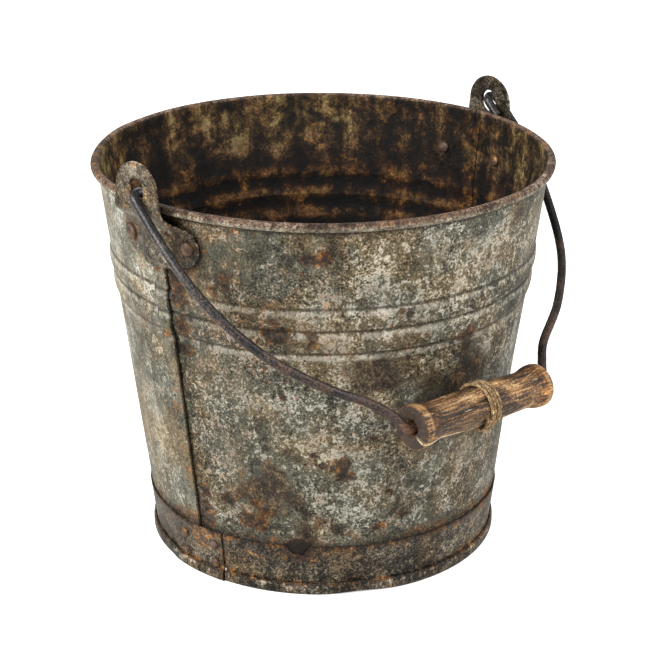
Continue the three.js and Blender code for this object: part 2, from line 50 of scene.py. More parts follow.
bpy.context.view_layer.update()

# %% [markdown]
# The picture is taken from the front left, a little above the rim, with a long lens from a metre and a
# quarter away. A long lens keeps the circle of the rim and that of the foot nearly alike. Matching the
# two ellipses, first the tilt and then the distance, is how such a camera can be found.

# %% Camera
EYE = (-0.8390, -0.8512, 0.6070)
LOOK_DOWN = 21.456
LOOK_TOWARDS = -44.46

camera = bpy.data.cameras.new("camera")
camera.sensor_width = 36
camera.lens = 110.4
viewer = bpy.data.objects.new("camera", camera)
viewer.location = EYE
viewer.rotation_euler = (math.radians(90 - LOOK_DOWN), 0, math.radians(LOOK_TOWARDS))
scene.collection.objects.link(viewer)
scene.camera = viewer
scene.view_settings.view_transform = "Standard"
print("camera field of view:", round(math.degrees(camera.angle), 2), "degrees")

# %% [markdown]
# Shader sums are easier to read as sums than as boxes and strings. A small class holds one output of a
# node tree and gives it plus, minus and times, so that rust can be written as an edge mask plus a
# noise. The same class makes any other node, for shaders and for geometry trees alike.

# %% A socket that can be added and multiplied
def feed(tree, socket, value):
    if isinstance(value, Tap):
        tree.links.new(value.socket, socket)
    elif isinstance(value, tuple) and socket.type == "RGBA" and len(value) == 3:
        socket.default_value = (*value, 1)
    else:
        socket.default_value = value


class Tap:
    """One output of a node tree, or just the tree where no output is needed yet."""

    def __init__(self, tree, socket=None):
        self.tree = tree
        self.socket = socket

    def make(self, kind, settings=None, inputs=None, output=0):
        node = self.tree.nodes.new(kind)
        for name, value in (settings or {}).items():
            setattr(node, name, value)
        for name, value in (inputs or {}).items():
            feed(self.tree, node.inputs[name], value)
        return Tap(self.tree, node.outputs[output])

    def maths(self, operation, *values):
        return self.make("ShaderNodeMath", {"operation": operation}, dict(enumerate(values)))

    def __add__(self, other):
        return self.maths("ADD", self, other)

    def __sub__(self, other):
        return self.maths("SUBTRACT", self, other)

    def __rsub__(self, other):
        return self.maths("SUBTRACT", other, self)

    def __mul__(self, other):
        return self.maths("MULTIPLY", self, other)

    def __truediv__(self, other):
        return self.maths("DIVIDE", self, other)

    __radd__ = __add__
    __rmul__ = __mul__

    def least(self, other):
        return self.maths("MINIMUM", self, other)

    def most(self, other):
        return self.maths("MAXIMUM", self, other)

    def rise(self, low, high):
        """0 below low, 1 above high and a soft step between."""
        inputs = {"Value": self, "From Min": low, "From Max": high}
        return self.make("ShaderNodeMapRange", {"interpolation_type": "SMOOTHSTEP"}, inputs)

    def vector(self, operation, *values, output=0):
        return self.make("ShaderNodeVectorMath", {"operation": operation}, dict(enumerate(values)), output)

    def part(self, axis):
        return self.make("ShaderNodeSeparateXYZ", inputs={"Vector": self}, output=axis)

    def stretched(self, x, y, z):
        return self.vector("MULTIPLY", self, (x, y, z))

    def scaled(self, amount):
        return self.make("ShaderNodeVectorMath", {"operation": "SCALE"}, {0: self, "Scale": amount})

    def noise(self, scale, detail=6, roughness=0.6, distortion=0):
        inputs = {"Vector": self, "Scale": scale, "Detail": detail, "Roughness": roughness,
                  "Distortion": distortion}
        return self.make("ShaderNodeTexNoise", inputs=inputs, output="Fac")

    def swirled(self, scale, reach):
        """This place pushed about by a noise, so that round shapes measured from it turn ragged."""
        inputs = {"Vector": self, "Scale": scale, "Detail": 4.0}
        push = self.make("ShaderNodeTexNoise", inputs=inputs, output="Color")
        aside = self.vector("MULTIPLY_ADD", push, (2 * reach,) * 3, (-reach,) * 3)
        return self.vector("ADD", self, aside)

    def cells(self, scale, output):
        return self.make("ShaderNodeTexVoronoi", inputs={"Vector": self, "Scale": scale}, output=output)

    def over(self, under, amount):
        """This colour laid over another one, as far as the amount says."""
        inputs = {0: amount, 6: under, 7: self}
        return self.make("ShaderNodeMix", {"data_type": "RGBA"}, inputs, 2)

    def coated(self, coat, amount):
        """This colour under a plain one, as far as the amount says."""
        inputs = {0: amount, 6: self, 7: coat}
        return self.make("ShaderNodeMix", {"data_type": "RGBA"}, inputs, 2)

    def tinted(self, tint, amount):
        """This colour darkened towards a tint, as a thin stain does it."""
        inputs = {0: amount, 6: self, 7: tint}
        return self.make("ShaderNodeMix", {"data_type": "RGBA", "blend_type": "MULTIPLY"}, inputs, 2)

    def ramp(self, *stops):
        tap = self.make("ShaderNodeValToRGB", inputs={"Fac": self})
        elements = tap.socket.node.color_ramp.elements
        while len(elements) < len(stops):
            elements.new(1)
        for element, (place, colour) in zip(elements, stops):
            element.position = place
            element.color = (*colour, 1)
        return tap

    def bump(self, distance, strength):
        inputs = {"Height": self, "Distance": distance, "Strength": strength}
        return self.make("ShaderNodeBump", inputs=inputs)


def paint(red, green, blue):
    """A colour as a screen shows it, 0 to 255, turned into the light that the renderer sums."""
    shares = (red / 255, green / 255, blue / 255)
    return tuple(s / 12.92 if s <= 0.04045 else ((s + 0.055) / 1.055) ** 2.4 for s in shares)


def new_finish(name):
    finish = bpy.data.materials.new(name)
    finish.use_nodes = True
    start = Tap(finish.node_tree)
    return finish, start, finish.node_tree.nodes["Principled BSDF"]


def place_of(start):
    return start.make("ShaderNodeTexCoord", output="Object")


def mark_of(start, name):
    return start.make("ShaderNodeAttribute", {"attribute_name": name}, output="Fac")


def wear(start, shader, **channels):
    for channel, value in channels.items():
        feed(start.tree, shader.inputs[channel.replace("_", " ")], value)


print("light of a mid grey on screen:", [round(share, 3) for share in paint(128, 128, 128)])

# %% [markdown]
# A white studio: the background is plain white to the camera and dimmer in reflections, so that dark
# metal stays dark. The light that falls on the pail comes from a soft sky and three large lamps. The
# floor glows a little to the camera so that it meets the white behind it, and only the shadow under the
# pail is left on it.

# %% Sky, floor and lamps
SKY_LIGHT, MIRRORED_SKY = 0.32, 0.3
FLOOR_GLOW, FLOOR_REACH, FLOOR_Z = 0.66, 6, -0.0002
LAMP_AIM = Vector((0, 0, 0.12))

world = bpy.data.worlds.new("studio")
world.use_nodes = True
scene.world = world
sky = Tap(world.node_tree)
seen = sky.make("ShaderNodeLightPath", output="Is Camera Ray")
mirrored = sky.make("ShaderNodeLightPath", output="Is Glossy Ray")
through = sky.make("ShaderNodeLightPath", output="Is Transmission Ray")
white = (seen + mirrored * MIRRORED_SKY + through).least(1)
backdrop = world.node_tree.nodes["Background"]
backdrop.inputs["Color"].default_value = (1, 1, 1, 1)
feed(world.node_tree, backdrop.inputs["Strength"], white * (1 - SKY_LIGHT) + SKY_LIGHT)

floor_mesh = bpy.data.meshes.new("floor")
floor_mesh.from_pydata([(-FLOOR_REACH, -FLOOR_REACH, 0), (FLOOR_REACH, -FLOOR_REACH, 0),
                        (FLOOR_REACH, FLOOR_REACH, 0), (-FLOOR_REACH, FLOOR_REACH, 0)],
                       [], [(0, 1, 2, 3)])
floor = bpy.data.objects.new("floor", floor_mesh)
floor.location.z = FLOOR_Z
scene.collection.objects.link(floor)
floor_finish, start, shader = new_finish("floor_white")
shown = start.make("ShaderNodeLightPath", output="Is Camera Ray")
glow = start.make("ShaderNodeMix", {"data_type": "RGBA"},
                  {0: shown, 6: (0, 0, 0), 7: (FLOOR_GLOW, FLOOR_GLOW, FLOOR_GLOW)}, 2)
wear(start, shader, Base_Color=paint(238, 237, 235), Roughness=0.9,
     Emission_Color=glow, Emission_Strength=1.0)
floor_mesh.materials.append(floor_finish)


def lamp(name, place, size, watts):
    light = bpy.data.lights.new(name, "AREA")
    light.shape = "SQUARE"
    light.size = size
    light.energy = watts
    holder = bpy.data.objects.new(name, light)
    holder.location = place
    aim = LAMP_AIM - Vector(place)
    holder.rotation_euler = aim.to_track_quat("-Z", "Y").to_euler()
    scene.collection.objects.link(holder)


lamp("key_from_the_left", (-1.5, 0.15, 1.15), 0.8, 46)
lamp("fill_from_the_right", (0.6, -1.55, 1.0), 0.9, 29)
lamp("edge_from_behind", (1.1, 1.3, 1.5), 1.0, 14)

# %% [markdown]
# Sheet metal is made here as a maker would mark it out: a section is drawn, then carried along a path.
# Rings of points joined to their neighbours give a closed skin, and two caps close its ends. Keeping the
# points in millimetres makes every number one that could be read off the pail with a rule.

# %% Tools for laying out sheet metal
AXIS_Y = 5.6
EDGE_ANGLE = math.radians(38)


def round_axis(radius, azimuth, z):
    """Points at radii, azimuths in degrees and heights round the pail's axis."""
    turn = np.radians(azimuth)
    return np.stack(np.broadcast_arrays(radius * np.cos(turn), AXIS_Y + radius * np.sin(turn), z), -1)


def loft(rings, joined=False, cap=None):
    """A skin through rings of points, with a cap at each end unless the last ring meets the first."""
    rings = np.asarray(rings, float)
    count, around = rings.shape[:2]
    index = np.arange(count * around).reshape(count, around)
    here = index if joined else index[:-1]
    there = np.roll(index, -1, 0) if joined else index[1:]
    quads = np.stack([here, np.roll(here, -1, 1), np.roll(there, -1, 1), there], -1).reshape(-1, 4)
    points = rings.reshape(-1, 3)
    corners = points[quads] - points.mean(0)
    volume = np.einsum("ij,ij->i", corners[:, 0], np.cross(corners[:, 1], corners[:, 2])).sum()
    volume += np.einsum("ij,ij->i", corners[:, 0], np.cross(corners[:, 2], corners[:, 3])).sum()
    faces = quads.tolist()
    if not joined:
        cap = [range(around)] if cap is None else cap
        faces += [index[0][list(face)[::-1]].tolist() for face in cap]
        faces += [index[-1][list(face)].tolist() for face in cap]
    return points, faces if volume > 0 else [face[::-1] for face in faces]


def together(*skins):
    points, faces, start = [], [], 0
    for some_points, some_faces in skins:
        points.append(some_points)
        faces += [[corner + start for corner in face] for face in some_faces]
        start += len(some_points)
    return np.concatenate(points), faces


def new_piece(name, points, faces, finish, marks=None):
    mesh = bpy.data.meshes.new(name)
    mesh.from_pydata((np.asarray(points) * MM).tolist(), [], faces)
    for mark, values in (marks or {}).items():
        values = np.asarray(values, np.float32)
        kind, field = ("FLOAT", "value") if values.ndim == 1 else ("FLOAT_VECTOR", "vector")
        mesh.attributes.new(mark, kind, "POINT").data.foreach_set(field, values.ravel())
    mesh.materials.append(finish)
    mesh.shade_smooth()
    mesh.set_sharp_from_angle(angle=EDGE_ANGLE)
    piece = bpy.data.objects.new(name, mesh)
    scene.collection.objects.link(piece)
    return piece


def stand_in(piece, body, slot, *replaced):
    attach(piece, body)
    if replaced:
        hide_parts(*replaced)
    print(piece.name, "faces:", len(piece.data.polygons), "stands for:", ", ".join(replaced) or "nothing")


def ribbon(path, thickness):
    """The outline of a strip of sheet that follows a path, half its thickness to each side."""
    path = np.asarray(path, float)
    steps = np.diff(path, axis=0)
    steps /= np.linalg.norm(steps, axis=1)[:, None]
    into = np.vstack([steps[:1], steps])
    out = np.vstack([steps, steps[-1:]])
    along = into + out
    along /= np.linalg.norm(along, axis=1)[:, None]
    reach = thickness / 2 / np.einsum("ij,ij->i", along, into)
    across = np.stack([-along[:, 1], along[:, 0]], -1) * reach[:, None]
    return np.vstack([path + across, (path - across)[::-1]])


def arc(x, y, radius, start, end, steps):
    turn = np.radians(np.linspace(start, end, steps + 1))
    return np.stack([x + radius * np.cos(turn), y + radius * np.sin(turn)], -1)


def soft_step(value, low, high):
    share = np.clip((np.asarray(value, float) - low) / (high - low), 0, 1)
    return share * share * (3 - 2 * share)


# %% [markdown]
# A pail that has been dropped and stacked is never quite round. The rim is pushed in at the back right
# and kinked at the back left, and the walls have shallow dents. One rule gives how far the metal stands
# out or in at any place, and the walls, the hoop, the ears and the rivets all follow it, so that nothing
# comes loose from the sheet it is fixed to.

# %% How far the metal is out of true
RIM_TOP = 252.6
DENTS = [
    (25, 250, -1.2, 22, 90), (112, 250, 0.7, 5, 60), (129, 250, -0.6, 8, 60),
    (199, 222, -0.9, 6, 13), (198, 186, -0.5, 7, 6), (214, 120, -0.8, 11, 34),
    (238, 205, -0.7, 12, 22), (226, 62, -0.7, 10, 24), (262, 78, -1.0, 14, 30),
    (276, 190, -0.7, 9, 30), (300, 120, -1.1, 14, 40), (163, 140, -0.7, 9, 45),
    (150, 90, 0.4, 9, 40), (60, 120, -1.2, 16, 40), (95, 180, -0.8, 12, 30),
    (330, 70, -0.8, 12, 30), (120, 60, -0.8, 12, 30), (238, 2, -0.7, 7, 9),
]


def out_of_true(azimuth, z):
    azimuth, z = np.broadcast_arrays(np.asarray(azimuth, float), np.asarray(z, float))
    height = z / RIM_TOP
    total = 0.25 * np.sin(np.radians(2 * azimuth - 60)) * height
    total = total + 0.2 * np.sin(np.radians(5 * azimuth + 40)) * height ** 2
    total = total + 0.12 * np.sin(np.radians(11 * azimuth)) * np.sin(z / 23)
    for at, level, depth, wide, tall in DENTS:
        away = (azimuth - at + 180) % 360 - 180
        total = total + depth * np.exp(-0.5 * (away / wide) ** 2 - 0.5 * ((z - level) / tall) ** 2)
    return total


print("deepest dent in mm:", round(float(out_of_true(np.arange(0, 360, 2)[:, None],
                                                     np.arange(10, 250, 4)[None, :]).min()), 2))

# %% [markdown]
# Each half sheet has a hook folded along both edges, one over and one under, so that two like sheets lock
# into each other and are hammered flat. Its section goes up from a small ledge under the bottom, through
# two pressed beads, and over the rim wire. The plan of the sheet is carried up that section ring by ring;
# above and below the seam the hooks shrink away to a plain edge.

# %% Measures of the sheet
SHEET = 0.7
WALL_RADIUS, WALL_LEVEL, TAPER = 113.2, 35, 0.1298
BEAD_LOW, BEAD_PITCH, BEADS, BEAD_HEIGHT, BEAD_CURVE = 168.5, 14.5, 2, 1.6, 0.7
SEAM_LOW, SEAM_HIGH = 35.5, 243
SEAM_WIDTH, SEAM_GAP, SEAM_STEP = 8.4, 0.25, 3
EAR_OFFSET, TONGUE_FACE = 4.5, 152.4
LOBE_X, LOBE_Z, LOBE_RADIUS = 17.5, 227, 13.7
RIVET_ACROSS, RIVET_Z = 23.5, 226.5
LEFT_DROP, RIGHT_DROP = -1.9, 2.8
LEFT_EAR = 180 + math.degrees(math.asin(EAR_OFFSET / TONGUE_FACE))
RIGHT_EAR = 540 - LEFT_EAR
EARS = (("left", LEFT_EAR, LEFT_DROP), ("right", RIGHT_EAR, RIGHT_DROP))
ROLL_X, ROLL_Z, ROLL_RADIUS, ROLL_STEPS = 142.25, 249.85, 2.4, 22
LEDGE, LEDGE_Z = 4.5, 7.35


def wall_outside(z):
    return WALL_RADIUS + (np.asarray(z, float) - WALL_LEVEL) * TAPER


def bead(z):
    place = (np.asarray(z, float) - BEAD_LOW) / BEAD_PITCH
    swell = BEAD_HEIGHT * np.abs(np.sin(np.pi * place)) ** BEAD_CURVE
    return np.where((place > 0) & (place < BEADS), swell, 0)


def sheet_section():
    """The middle of the sheet from its ledge to the end of its rolled rim, in radius and height."""
    foot = float(wall_outside(LEDGE_Z)) - SHEET / 2
    ledge = [(foot - LEDGE, LEDGE_Z), (foot - 2.5, LEDGE_Z), (foot - 0.8, LEDGE_Z + 0.1)]
    heights = np.concatenate([
        np.linspace(8.2, 34, 12), np.linspace(SEAM_LOW - 0.2, SEAM_LOW, 2),
        np.linspace(38, BEAD_LOW - 2, 46), np.linspace(BEAD_LOW - 1, BEAD_LOW + 30, 47),
        np.linspace(BEAD_LOW + 32, SEAM_HIGH, 18), np.linspace(SEAM_HIGH + 0.2, 248.4, 6),
    ])
    straight = np.minimum(wall_outside(heights) - SHEET / 2, ROLL_X - ROLL_RADIUS)
    wall = np.stack([straight + bead(heights), heights], -1)
    return np.vstack([ledge, wall, arc(ROLL_X, ROLL_Z, ROLL_RADIUS, 180, -120, ROLL_STEPS)])


section = sheet_section()
print("rings in the sheet's section:", len(section))

# %% Folding one half sheet
COLUMNS = 170
UNDER_POINTS = 6
BUTT = 0.5


def sheet_plan():
    """Share of the sweep, step along the wall and height above the inside face, going once round."""
    t, g, half = SHEET, SEAM_GAP, SEAM_WIDTH / 2
    foot = half + g + SEAM_STEP
    over = [(-foot - 1.2, 0), (-foot, 0.12), (-half - g, 3 * t + 3 * g), (half - t, 3 * t + 3 * g),
            (half - t, 2 * t + g), (-half + t + g, 2 * t + g), (-half + t + g, t + g), (half, t + g),
            (half, 4 * t + 3 * g - 0.2), (half - 0.2, 4 * t + 3 * g), (-half - g - t / 2, 4 * t + 3 * g),
            (-foot - t / 2, t + 0.12), (-foot - 1.6, t)]
    under = [(-half + t, t), (-half + t, 2 * t + 2 * g), (half - t - g, 2 * t + 2 * g),
             (half - t - g, 3 * t + 2 * g), (-half, 3 * t + 2 * g), (-half, 0)]
    shares = np.linspace(0, 1, COLUMNS + 1)[2:-2]
    plan = [(share, 0, 0) for share in shares]
    plan += [(1, step, height) for step, height in over]
    plan += [(share, 0, t) for share in shares[::-1]]
    plan += [(0, step, height) for step, height in under]
    return np.array(plan)


def folded_share(z):
    """1 where the seam is folded, fading to 0 above and below it."""
    return soft_step(z, 20, 36) * (1 - soft_step(z, 240, 246))


def half_sheet(start, end):
    """Points, faces and marks of one sheet between two azimuths, its hooks included."""
    plan = sheet_plan()
    share, step, height = plan.T
    slope = np.gradient(section, axis=0)
    slope /= np.linalg.norm(slope, axis=1)[:, None]
    folded = (section[:, 1] >= SEAM_LOW - 0.05) & (section[:, 1] <= SEAM_HIGH + 0.05)
    plain_step = np.where(share == 0, BUTT, np.where(share == 1, -BUTT, 0))
    plain_height = np.where(height > SHEET / 2, SHEET, 0)
    over_wire = soft_step(np.arange(len(section)) - (len(section) - ROLL_STEPS - 1), 1.5, 4)
    rings, insides, rolls, seams = [], [], [], []
    for (radius, z), (run, climb), hooked, curled in zip(section, slope, folded, over_wire):
        lift = (height if hooked else plain_height) - SHEET / 2
        along = step if hooked else plain_step
        azimuth = start + (end - start) * share + np.degrees(along / radius)
        level = z - lift * run
        reach = radius + lift * climb
        rings.append(round_axis(reach + out_of_true(azimuth, level), azimuth, level))
        insides.append(plain_height < SHEET / 2)
        rolls.append(np.full(len(plan), curled))
        from_seam = np.where(share < 0.5, share, 1 - share) * (end - start) * np.radians(1) * radius
        seams.append(np.exp(-np.maximum(from_seam - 3.5, 0) / 3.2) * folded_share(z))
    plain = COLUMNS - 3
    fold = len(plan) - 2 * plain - UNDER_POINTS
    last = 2 * plain + fold - 1
    cap = [(k, k + 1, last - 1 - k, last - k) for k in range(plain - 1)]
    cap += [tuple(range(plain - 1, plain + fold + 1)), (*range(last, len(plan)), 0)]
    points, faces = loft(rings, cap=cap)
    marks = {"inside": np.concatenate(insides), "rim": np.concatenate(rolls), "seam": np.concatenate(seams),
             "crack": np.tile((share == 0) | ((share == 1) & (height < 3 * SHEET)), len(rings)) * 1.0}
    return points, faces, marks


front = half_sheet(LEFT_EAR, RIGHT_EAR)
rear = half_sheet(RIGHT_EAR - 360, LEFT_EAR)
print("points in a half sheet:", len(front[0]))

# %% [markdown]
# Old zinc isn't one grey. Under years of rain it turns to pale oxide in clouds and specks, with dull
# patches of bare alloy between and brown pinholes where the steel has started to show. Rust creeps from
# every edge and crevice: the seam, the hoop's top, round the ears and under the rim. The darkest lines
# right beside the ears, just above the hoop and under the rim are painted shade as well as rust, and one
# dark patch behind the bail's left arm is a painted shadow of the bail. The inside has lost nearly all
# its zinc and is brown-black, painted darker still towards the bottom as painted shade. Noises of
# several sizes make the clouds and specks, and masks measured from the real edges say where the rust
# begins.

# %% Rust and zinc colours
ZINC = ((0.0, paint(22, 18, 12)), (0.2, paint(58, 53, 42)), (0.4, paint(97, 91, 75)),
        (0.6, paint(130, 123, 104)), (0.8, paint(164, 157, 138)), (1.0, paint(208, 203, 188)))
RUST = ((0.0, paint(18, 11, 6)), (0.28, paint(48, 29, 15)), (0.5, paint(90, 57, 25)),
        (0.7, paint(138, 91, 38)), (0.87, paint(176, 125, 62)), (1.0, paint(206, 168, 112)))
BURNT = ((0.0, paint(8, 5, 3)), (0.25, paint(26, 18, 10)), (0.48, paint(56, 42, 27)),
         (0.7, paint(96, 78, 54)), (0.86, paint(132, 116, 88)), (1.0, paint(168, 156, 130)))
ROLLED = ((0.0, paint(22, 15, 11)), (0.28, paint(62, 45, 35)), (0.5, paint(102, 81, 66)),
          (0.75, paint(150, 131, 113)), (1.0, paint(206, 196, 182)))
DULL = 0.25
CREASES = [BEAD_LOW + BEAD_PITCH * k for k in range(BEADS + 1)]


def patches(place, marks):
    """How deep a place lies in the nearest of some patches on the wall: 1 in its middle, 0 at its edge."""
    nearest = None
    for azimuth, z, reach in marks:
        centre = tuple(float(v) * MM for v in round_axis(float(wall_outside(z)), azimuth, z))
        away = place.vector("DISTANCE", place, centre, output="Value")
        share = away.maths("MULTIPLY_ADD", away, -1 / (reach * MM), 1)
        nearest = share if nearest is None else nearest.most(share)
    return nearest.most(-1)


def blended(*shares):
    """Noises round a half, each with its own weight, summed to one tone round a half."""
    total = None
    for noise, weight in shares:
        some = (noise - 0.5) * weight
        total = some if total is None else total + some
    return total + 0.5


def near_level(height, level, reach):
    """1 at a height, falling to 0 a reach above and below it."""
    away = height - level
    return 1 - away.maths("ABSOLUTE", away).rise(reach * 0.2, reach)


def pinholes(place, scale, share, size):
    """Small round spots scattered over a surface, a share of the cells of a pattern having one."""
    middle = place.cells(scale, "Distance")
    chance = place.cells(scale, "Color").part("X")
    return 1 - (middle - (chance - (1 - share)) * size / share).rise(0, 0.05)


# Grime stains on the wall; the patch at 238.3 degrees, 150 mm up, is a painted shadow of the bail's left arm.
STAINS_AND_BAIL_SHADOW = [(209.9, 75, 19), (205, 67, 12), (215.5, 62, 13), (212.5, 82, 10), (238.3, 150, 18), (199.0, 207, 8),
          (268, 144, 18), (262, 136, 14), (246.5, 62, 7), (254, 128, 12), (222, 45, 12), (232, 44, 9)]
RUST_SPOTS = [
    (231.3, 92, 5.2), (231.6, 85.5, 6), (214.4, 138.4, 3.6), (266.8, 169, 7),
    (266.9, 161, 6), (202.6, 48.9, 7), (205.2, 48.2, 7), (223.1, 98.8, 3), (216.5, 114.9, 3),
    (242.6, 46.7, 4), (250.7, 53.0, 3.8), (195.6, 60.1, 5.5), (212.6, 180.5, 6),
    (215.6, 180.8, 6.4), (223.1, 178.2, 4.8), (245.9, 70, 3.6), (222.4, 229, 5.5),
    (226, 230, 5.5), (213.5, 189, 3.4), (245, 193, 3.8), (247.4, 193.2, 3.8),
    (233, 191, 3.6), (226, 92, 2.8), (228.2, 89, 3.2), (221, 93, 2.6), (240, 110, 2.6),
    (205, 62, 4), (208, 56, 4), (186.6, 205, 8), (186.6, 193, 7), (186.4, 176, 6),
    (186.3, 160, 5), (186.6, 62, 5), (186.8, 50, 6), (187.2, 42, 7), (189, 214, 6),
    (300, 90, 8), (320, 150, 6), (60, 150, 9), (100, 80, 9), (140, 50, 6), (30, 60, 8),
    (345, 60, 8),
]
# Where the hoop's bite shows the wall behind it: rust, and painted shade in the recess.
BITE_RUST_AND_SHADE = [(217.8, 30, 11)]


def zinc_finish(name, streaky, paleness):
    finish, start, shader = new_finish(name)
    place = place_of(start)
    cloud = place.noise(19, 5, 0.62)
    mottle = place.noise(80, 6, 0.62, 0.5)
    speck = place.noise(300, 4, 0.62, 0.8)
    crumb = place.noise(820, 2, 0.55)
    streak = place.stretched(1, 1, 0.1).noise(150, 6, 0.66)
    fall = place.stretched(1, 1, 0.2).noise(52, 5, 0.6)
    height = place.part("Z") / MM
    ragged = mottle * 0.5 + speck * 0.5
    rough = blended((mottle, 3.0), (speck, 2.2), (crumb, 0.5)) - 0.5
    even = 1 - 1.2 * streaky
    coarse = place.noise(25, 4, 0.6).rise(0.4, 0.6) * even

    tone = blended((cloud, 0.8), (mottle, 1.0), (speck, coarse * 0.9 + 0.9 * even),
                   (crumb, coarse * 1.2 + 0.9 * even), (streak, 1.3 * streaky), (fall, streaky))
    colour = (tone - 0.08 + paleness + height.rise(195, 240) * 0.05).ramp(*ZINC)
    warm = place.noise(31, 4, 0.6).rise(0.4, 0.62)
    colour = colour.tinted(paint(255, 232, 196), warm * 0.75)
    colour = colour.tinted(paint(216, 226, 232), (1 - warm) * 0.85)
    flakes = blended((speck, 2.0), (mottle, 1.4), (cloud, 0.9), (crumb, 0.8)).rise(0.64, 0.74)
    colour = colour.coated(paint(212, 208, 195), flakes * 0.42)
    wriggle = place.noise(130, 5, 0.62, 0.6) - 0.5
    hairline = 1 - wriggle.maths("ABSOLUTE", wriggle).rise(0.002, 0.014)
    colour = colour.coated(paint(44, 37, 28), hairline * (coarse * 0.5 + 0.12))

    pit_field = place.noise(36, 4, 0.6).rise(0.42, 0.58)
    pits = (1 - place.noise(600, 2, 0.55).rise(0.31, 0.39)) * (pit_field * 0.85 + 0.15)
    colour = colour.coated(paint(30, 21, 13), pits * 0.85)

    # Dark grime over the stains, and over the painted shadow of the bail's left arm.
    stain_and_bail_shadow = (patches(place.swirled(60, 0.025), STAINS_AND_BAIL_SHADOW) + rough * 0.8).rise(-0.05, 0.4)
    grime = (blended((mottle, 1.6), (speck, 1.5), (crumb, 0.9)) - 0.1).ramp(*BURNT)
    colour = grime.over(colour, stain_and_bail_shadow * 0.9)
    for level in CREASES:
        # Along each crease: a dark line, partly dirt and partly painted shade in the crease, and a pale line
        # just below it, partly wear and partly painted highlight.
        crease_dirt_and_shade = near_level(height, level, 1.5) * ragged.rise(0.36, 0.5)
        colour = colour.coated(paint(44, 38, 29), crease_dirt_and_shade * 0.7)
        wear_and_highlight = near_level(height, level - 3, 2.6) * (speck * 0.5 + fall * 0.5).rise(0.4, 0.58)
        colour = colour.coated(paint(196, 190, 175), wear_and_highlight * 0.42)

    rust_tone = blended((place.noise(200, 6, 0.66), 1.9), (mottle, 1.0), (crumb, 0.7))
    seam = mark_of(start, "seam")
    edge = mark_of(start, "edge")
    crack = mark_of(start, "crack")
    hem = 1 - height.rise(33.5, 50)
    creep = (seam * 0.36 + hem * 0.75 + edge * 1.05 + rough * 0.75).rise(0.42, 0.88)
    depth = patches(place.swirled(190, 0.0065), RUST_SPOTS) + rough * 0.45
    blush = blended((place.noise(14, 4, 0.6), 1.3), (speck, 1.0), (mottle, 1.2)).rise(0.58, 0.76) * 0.5
    pins = pinholes(place, 165, 0.6, 0.17)
    bite_rust_and_shade = (patches(place, BITE_RUST_AND_SHADE) + rough * 0.2).rise(0.0, 0.2)
    rusty = (creep + depth.rise(0, 0.24) + blush + pins * 0.85 + bite_rust_and_shade).least(1)
    # Rust made darker in deep spots, and as painted shade right beside the ears' outline and just above the
    # hoop's top edge.
    deep_rust_and_shade = (depth.rise(0.15, 0.6) * 0.26 + edge.rise(0.55, 0.98) * 0.3
            + (1 - height.rise(34, 38)) * 0.3).least(0.4)
    rust_colour = (rust_tone - 0.08 - deep_rust_and_shade).ramp(*RUST)
    colour = rust_colour.over(colour, rusty * 0.9)
    # The wall seen through the bite is near black: rust, and painted shade in the recess.
    colour = colour.coated(paint(22, 12, 8), bite_rust_and_shade * 0.9)
    colour = colour.coated(paint(14, 9, 6), crack.rise(0.3, 0.7) * 0.9)
    # A dark line on the wall right under the rolled rim: rust, and painted shade under the roll.
    colour = colour.coated(paint(40, 31, 24), height.rise(243.6, 246.6) * 0.75)

    inside = mark_of(start, "inside")
    top_band = height.rise(195, 238)
    film = blended((cloud, 1.5), (mottle, 2.3), (speck, 1.1), (crumb, 0.7), (streak, 1.1), (fall, 1.3))
    # The inside is a little lighter in its top band and darker and browner below it: partly its own brown
    # rust, partly painted shade deeper down in the pail.
    burnt = (film - 0.1 + top_band * 0.08).ramp(*BURNT)
    burnt = burnt.tinted(paint(222, 236, 222), top_band * cloud.rise(0.44, 0.6))
    burnt = burnt.tinted(paint(160, 122, 88), 1 - top_band)
    burnt = burnt.tinted(paint(255, 238, 208), top_band)
    band_tone = blended((mottle, 1.6), (fall, 1.4), (speck, 1.2), (crumb, 0.5)) - 0.02
    band_colour = band_tone.ramp(*BURNT).tinted(paint(255, 220, 176), 1.0)
    # Inside, each bead gets a light band, partly rust colour and partly painted highlight, and a darker
    # hollow below it as painted shade.
    for level in CREASES:
        band = near_level(height, level + 1.5, 5.5) * blended((fall, 1.8), (mottle, 1.8)).rise(0.2, 0.62)
        burnt = band_colour.over(burnt, band * 0.85)
        hollow = near_level(height, level - 5.5, 5.5)
        burnt = burnt.tinted(paint(96, 78, 62), hollow * 0.85)
    inner_rust = (fall * 0.5 + rough * 0.7 + seam * 0.45).rise(0.4, 0.85)
    burnt = (rust_tone - 0.12).ramp(*RUST).over(burnt, inner_rust * 0.7)
    colour = burnt.over(colour, inside)

    rim = mark_of(start, "rim")
    rim_tone = blended((streak, 0.6), (mottle, 1.5), (speck, 1.4), (crumb, 1.1))
    rolled = (rim_tone - 0.04).ramp(*ROLLED)
    rim_rust = blended((mottle, 1.8), (cloud, 1.3), (speck, 1.0)).rise(0.5, 0.74)
    rolled = rust_colour.over(rolled, rim_rust * 0.7)
    # The outer lower side of the roll is paler grey: partly bare zinc, partly a painted highlight where the
    # roll turns to the light.
    zinc_and_highlight = (rim_tone + 0.08).ramp(*ZINC)
    outer_side = 1 - height.rise(248.8, 251.2)
    rolled = zinc_and_highlight.over(rolled, outer_side * 0.75)
    colour = rolled.over(colour, rim)

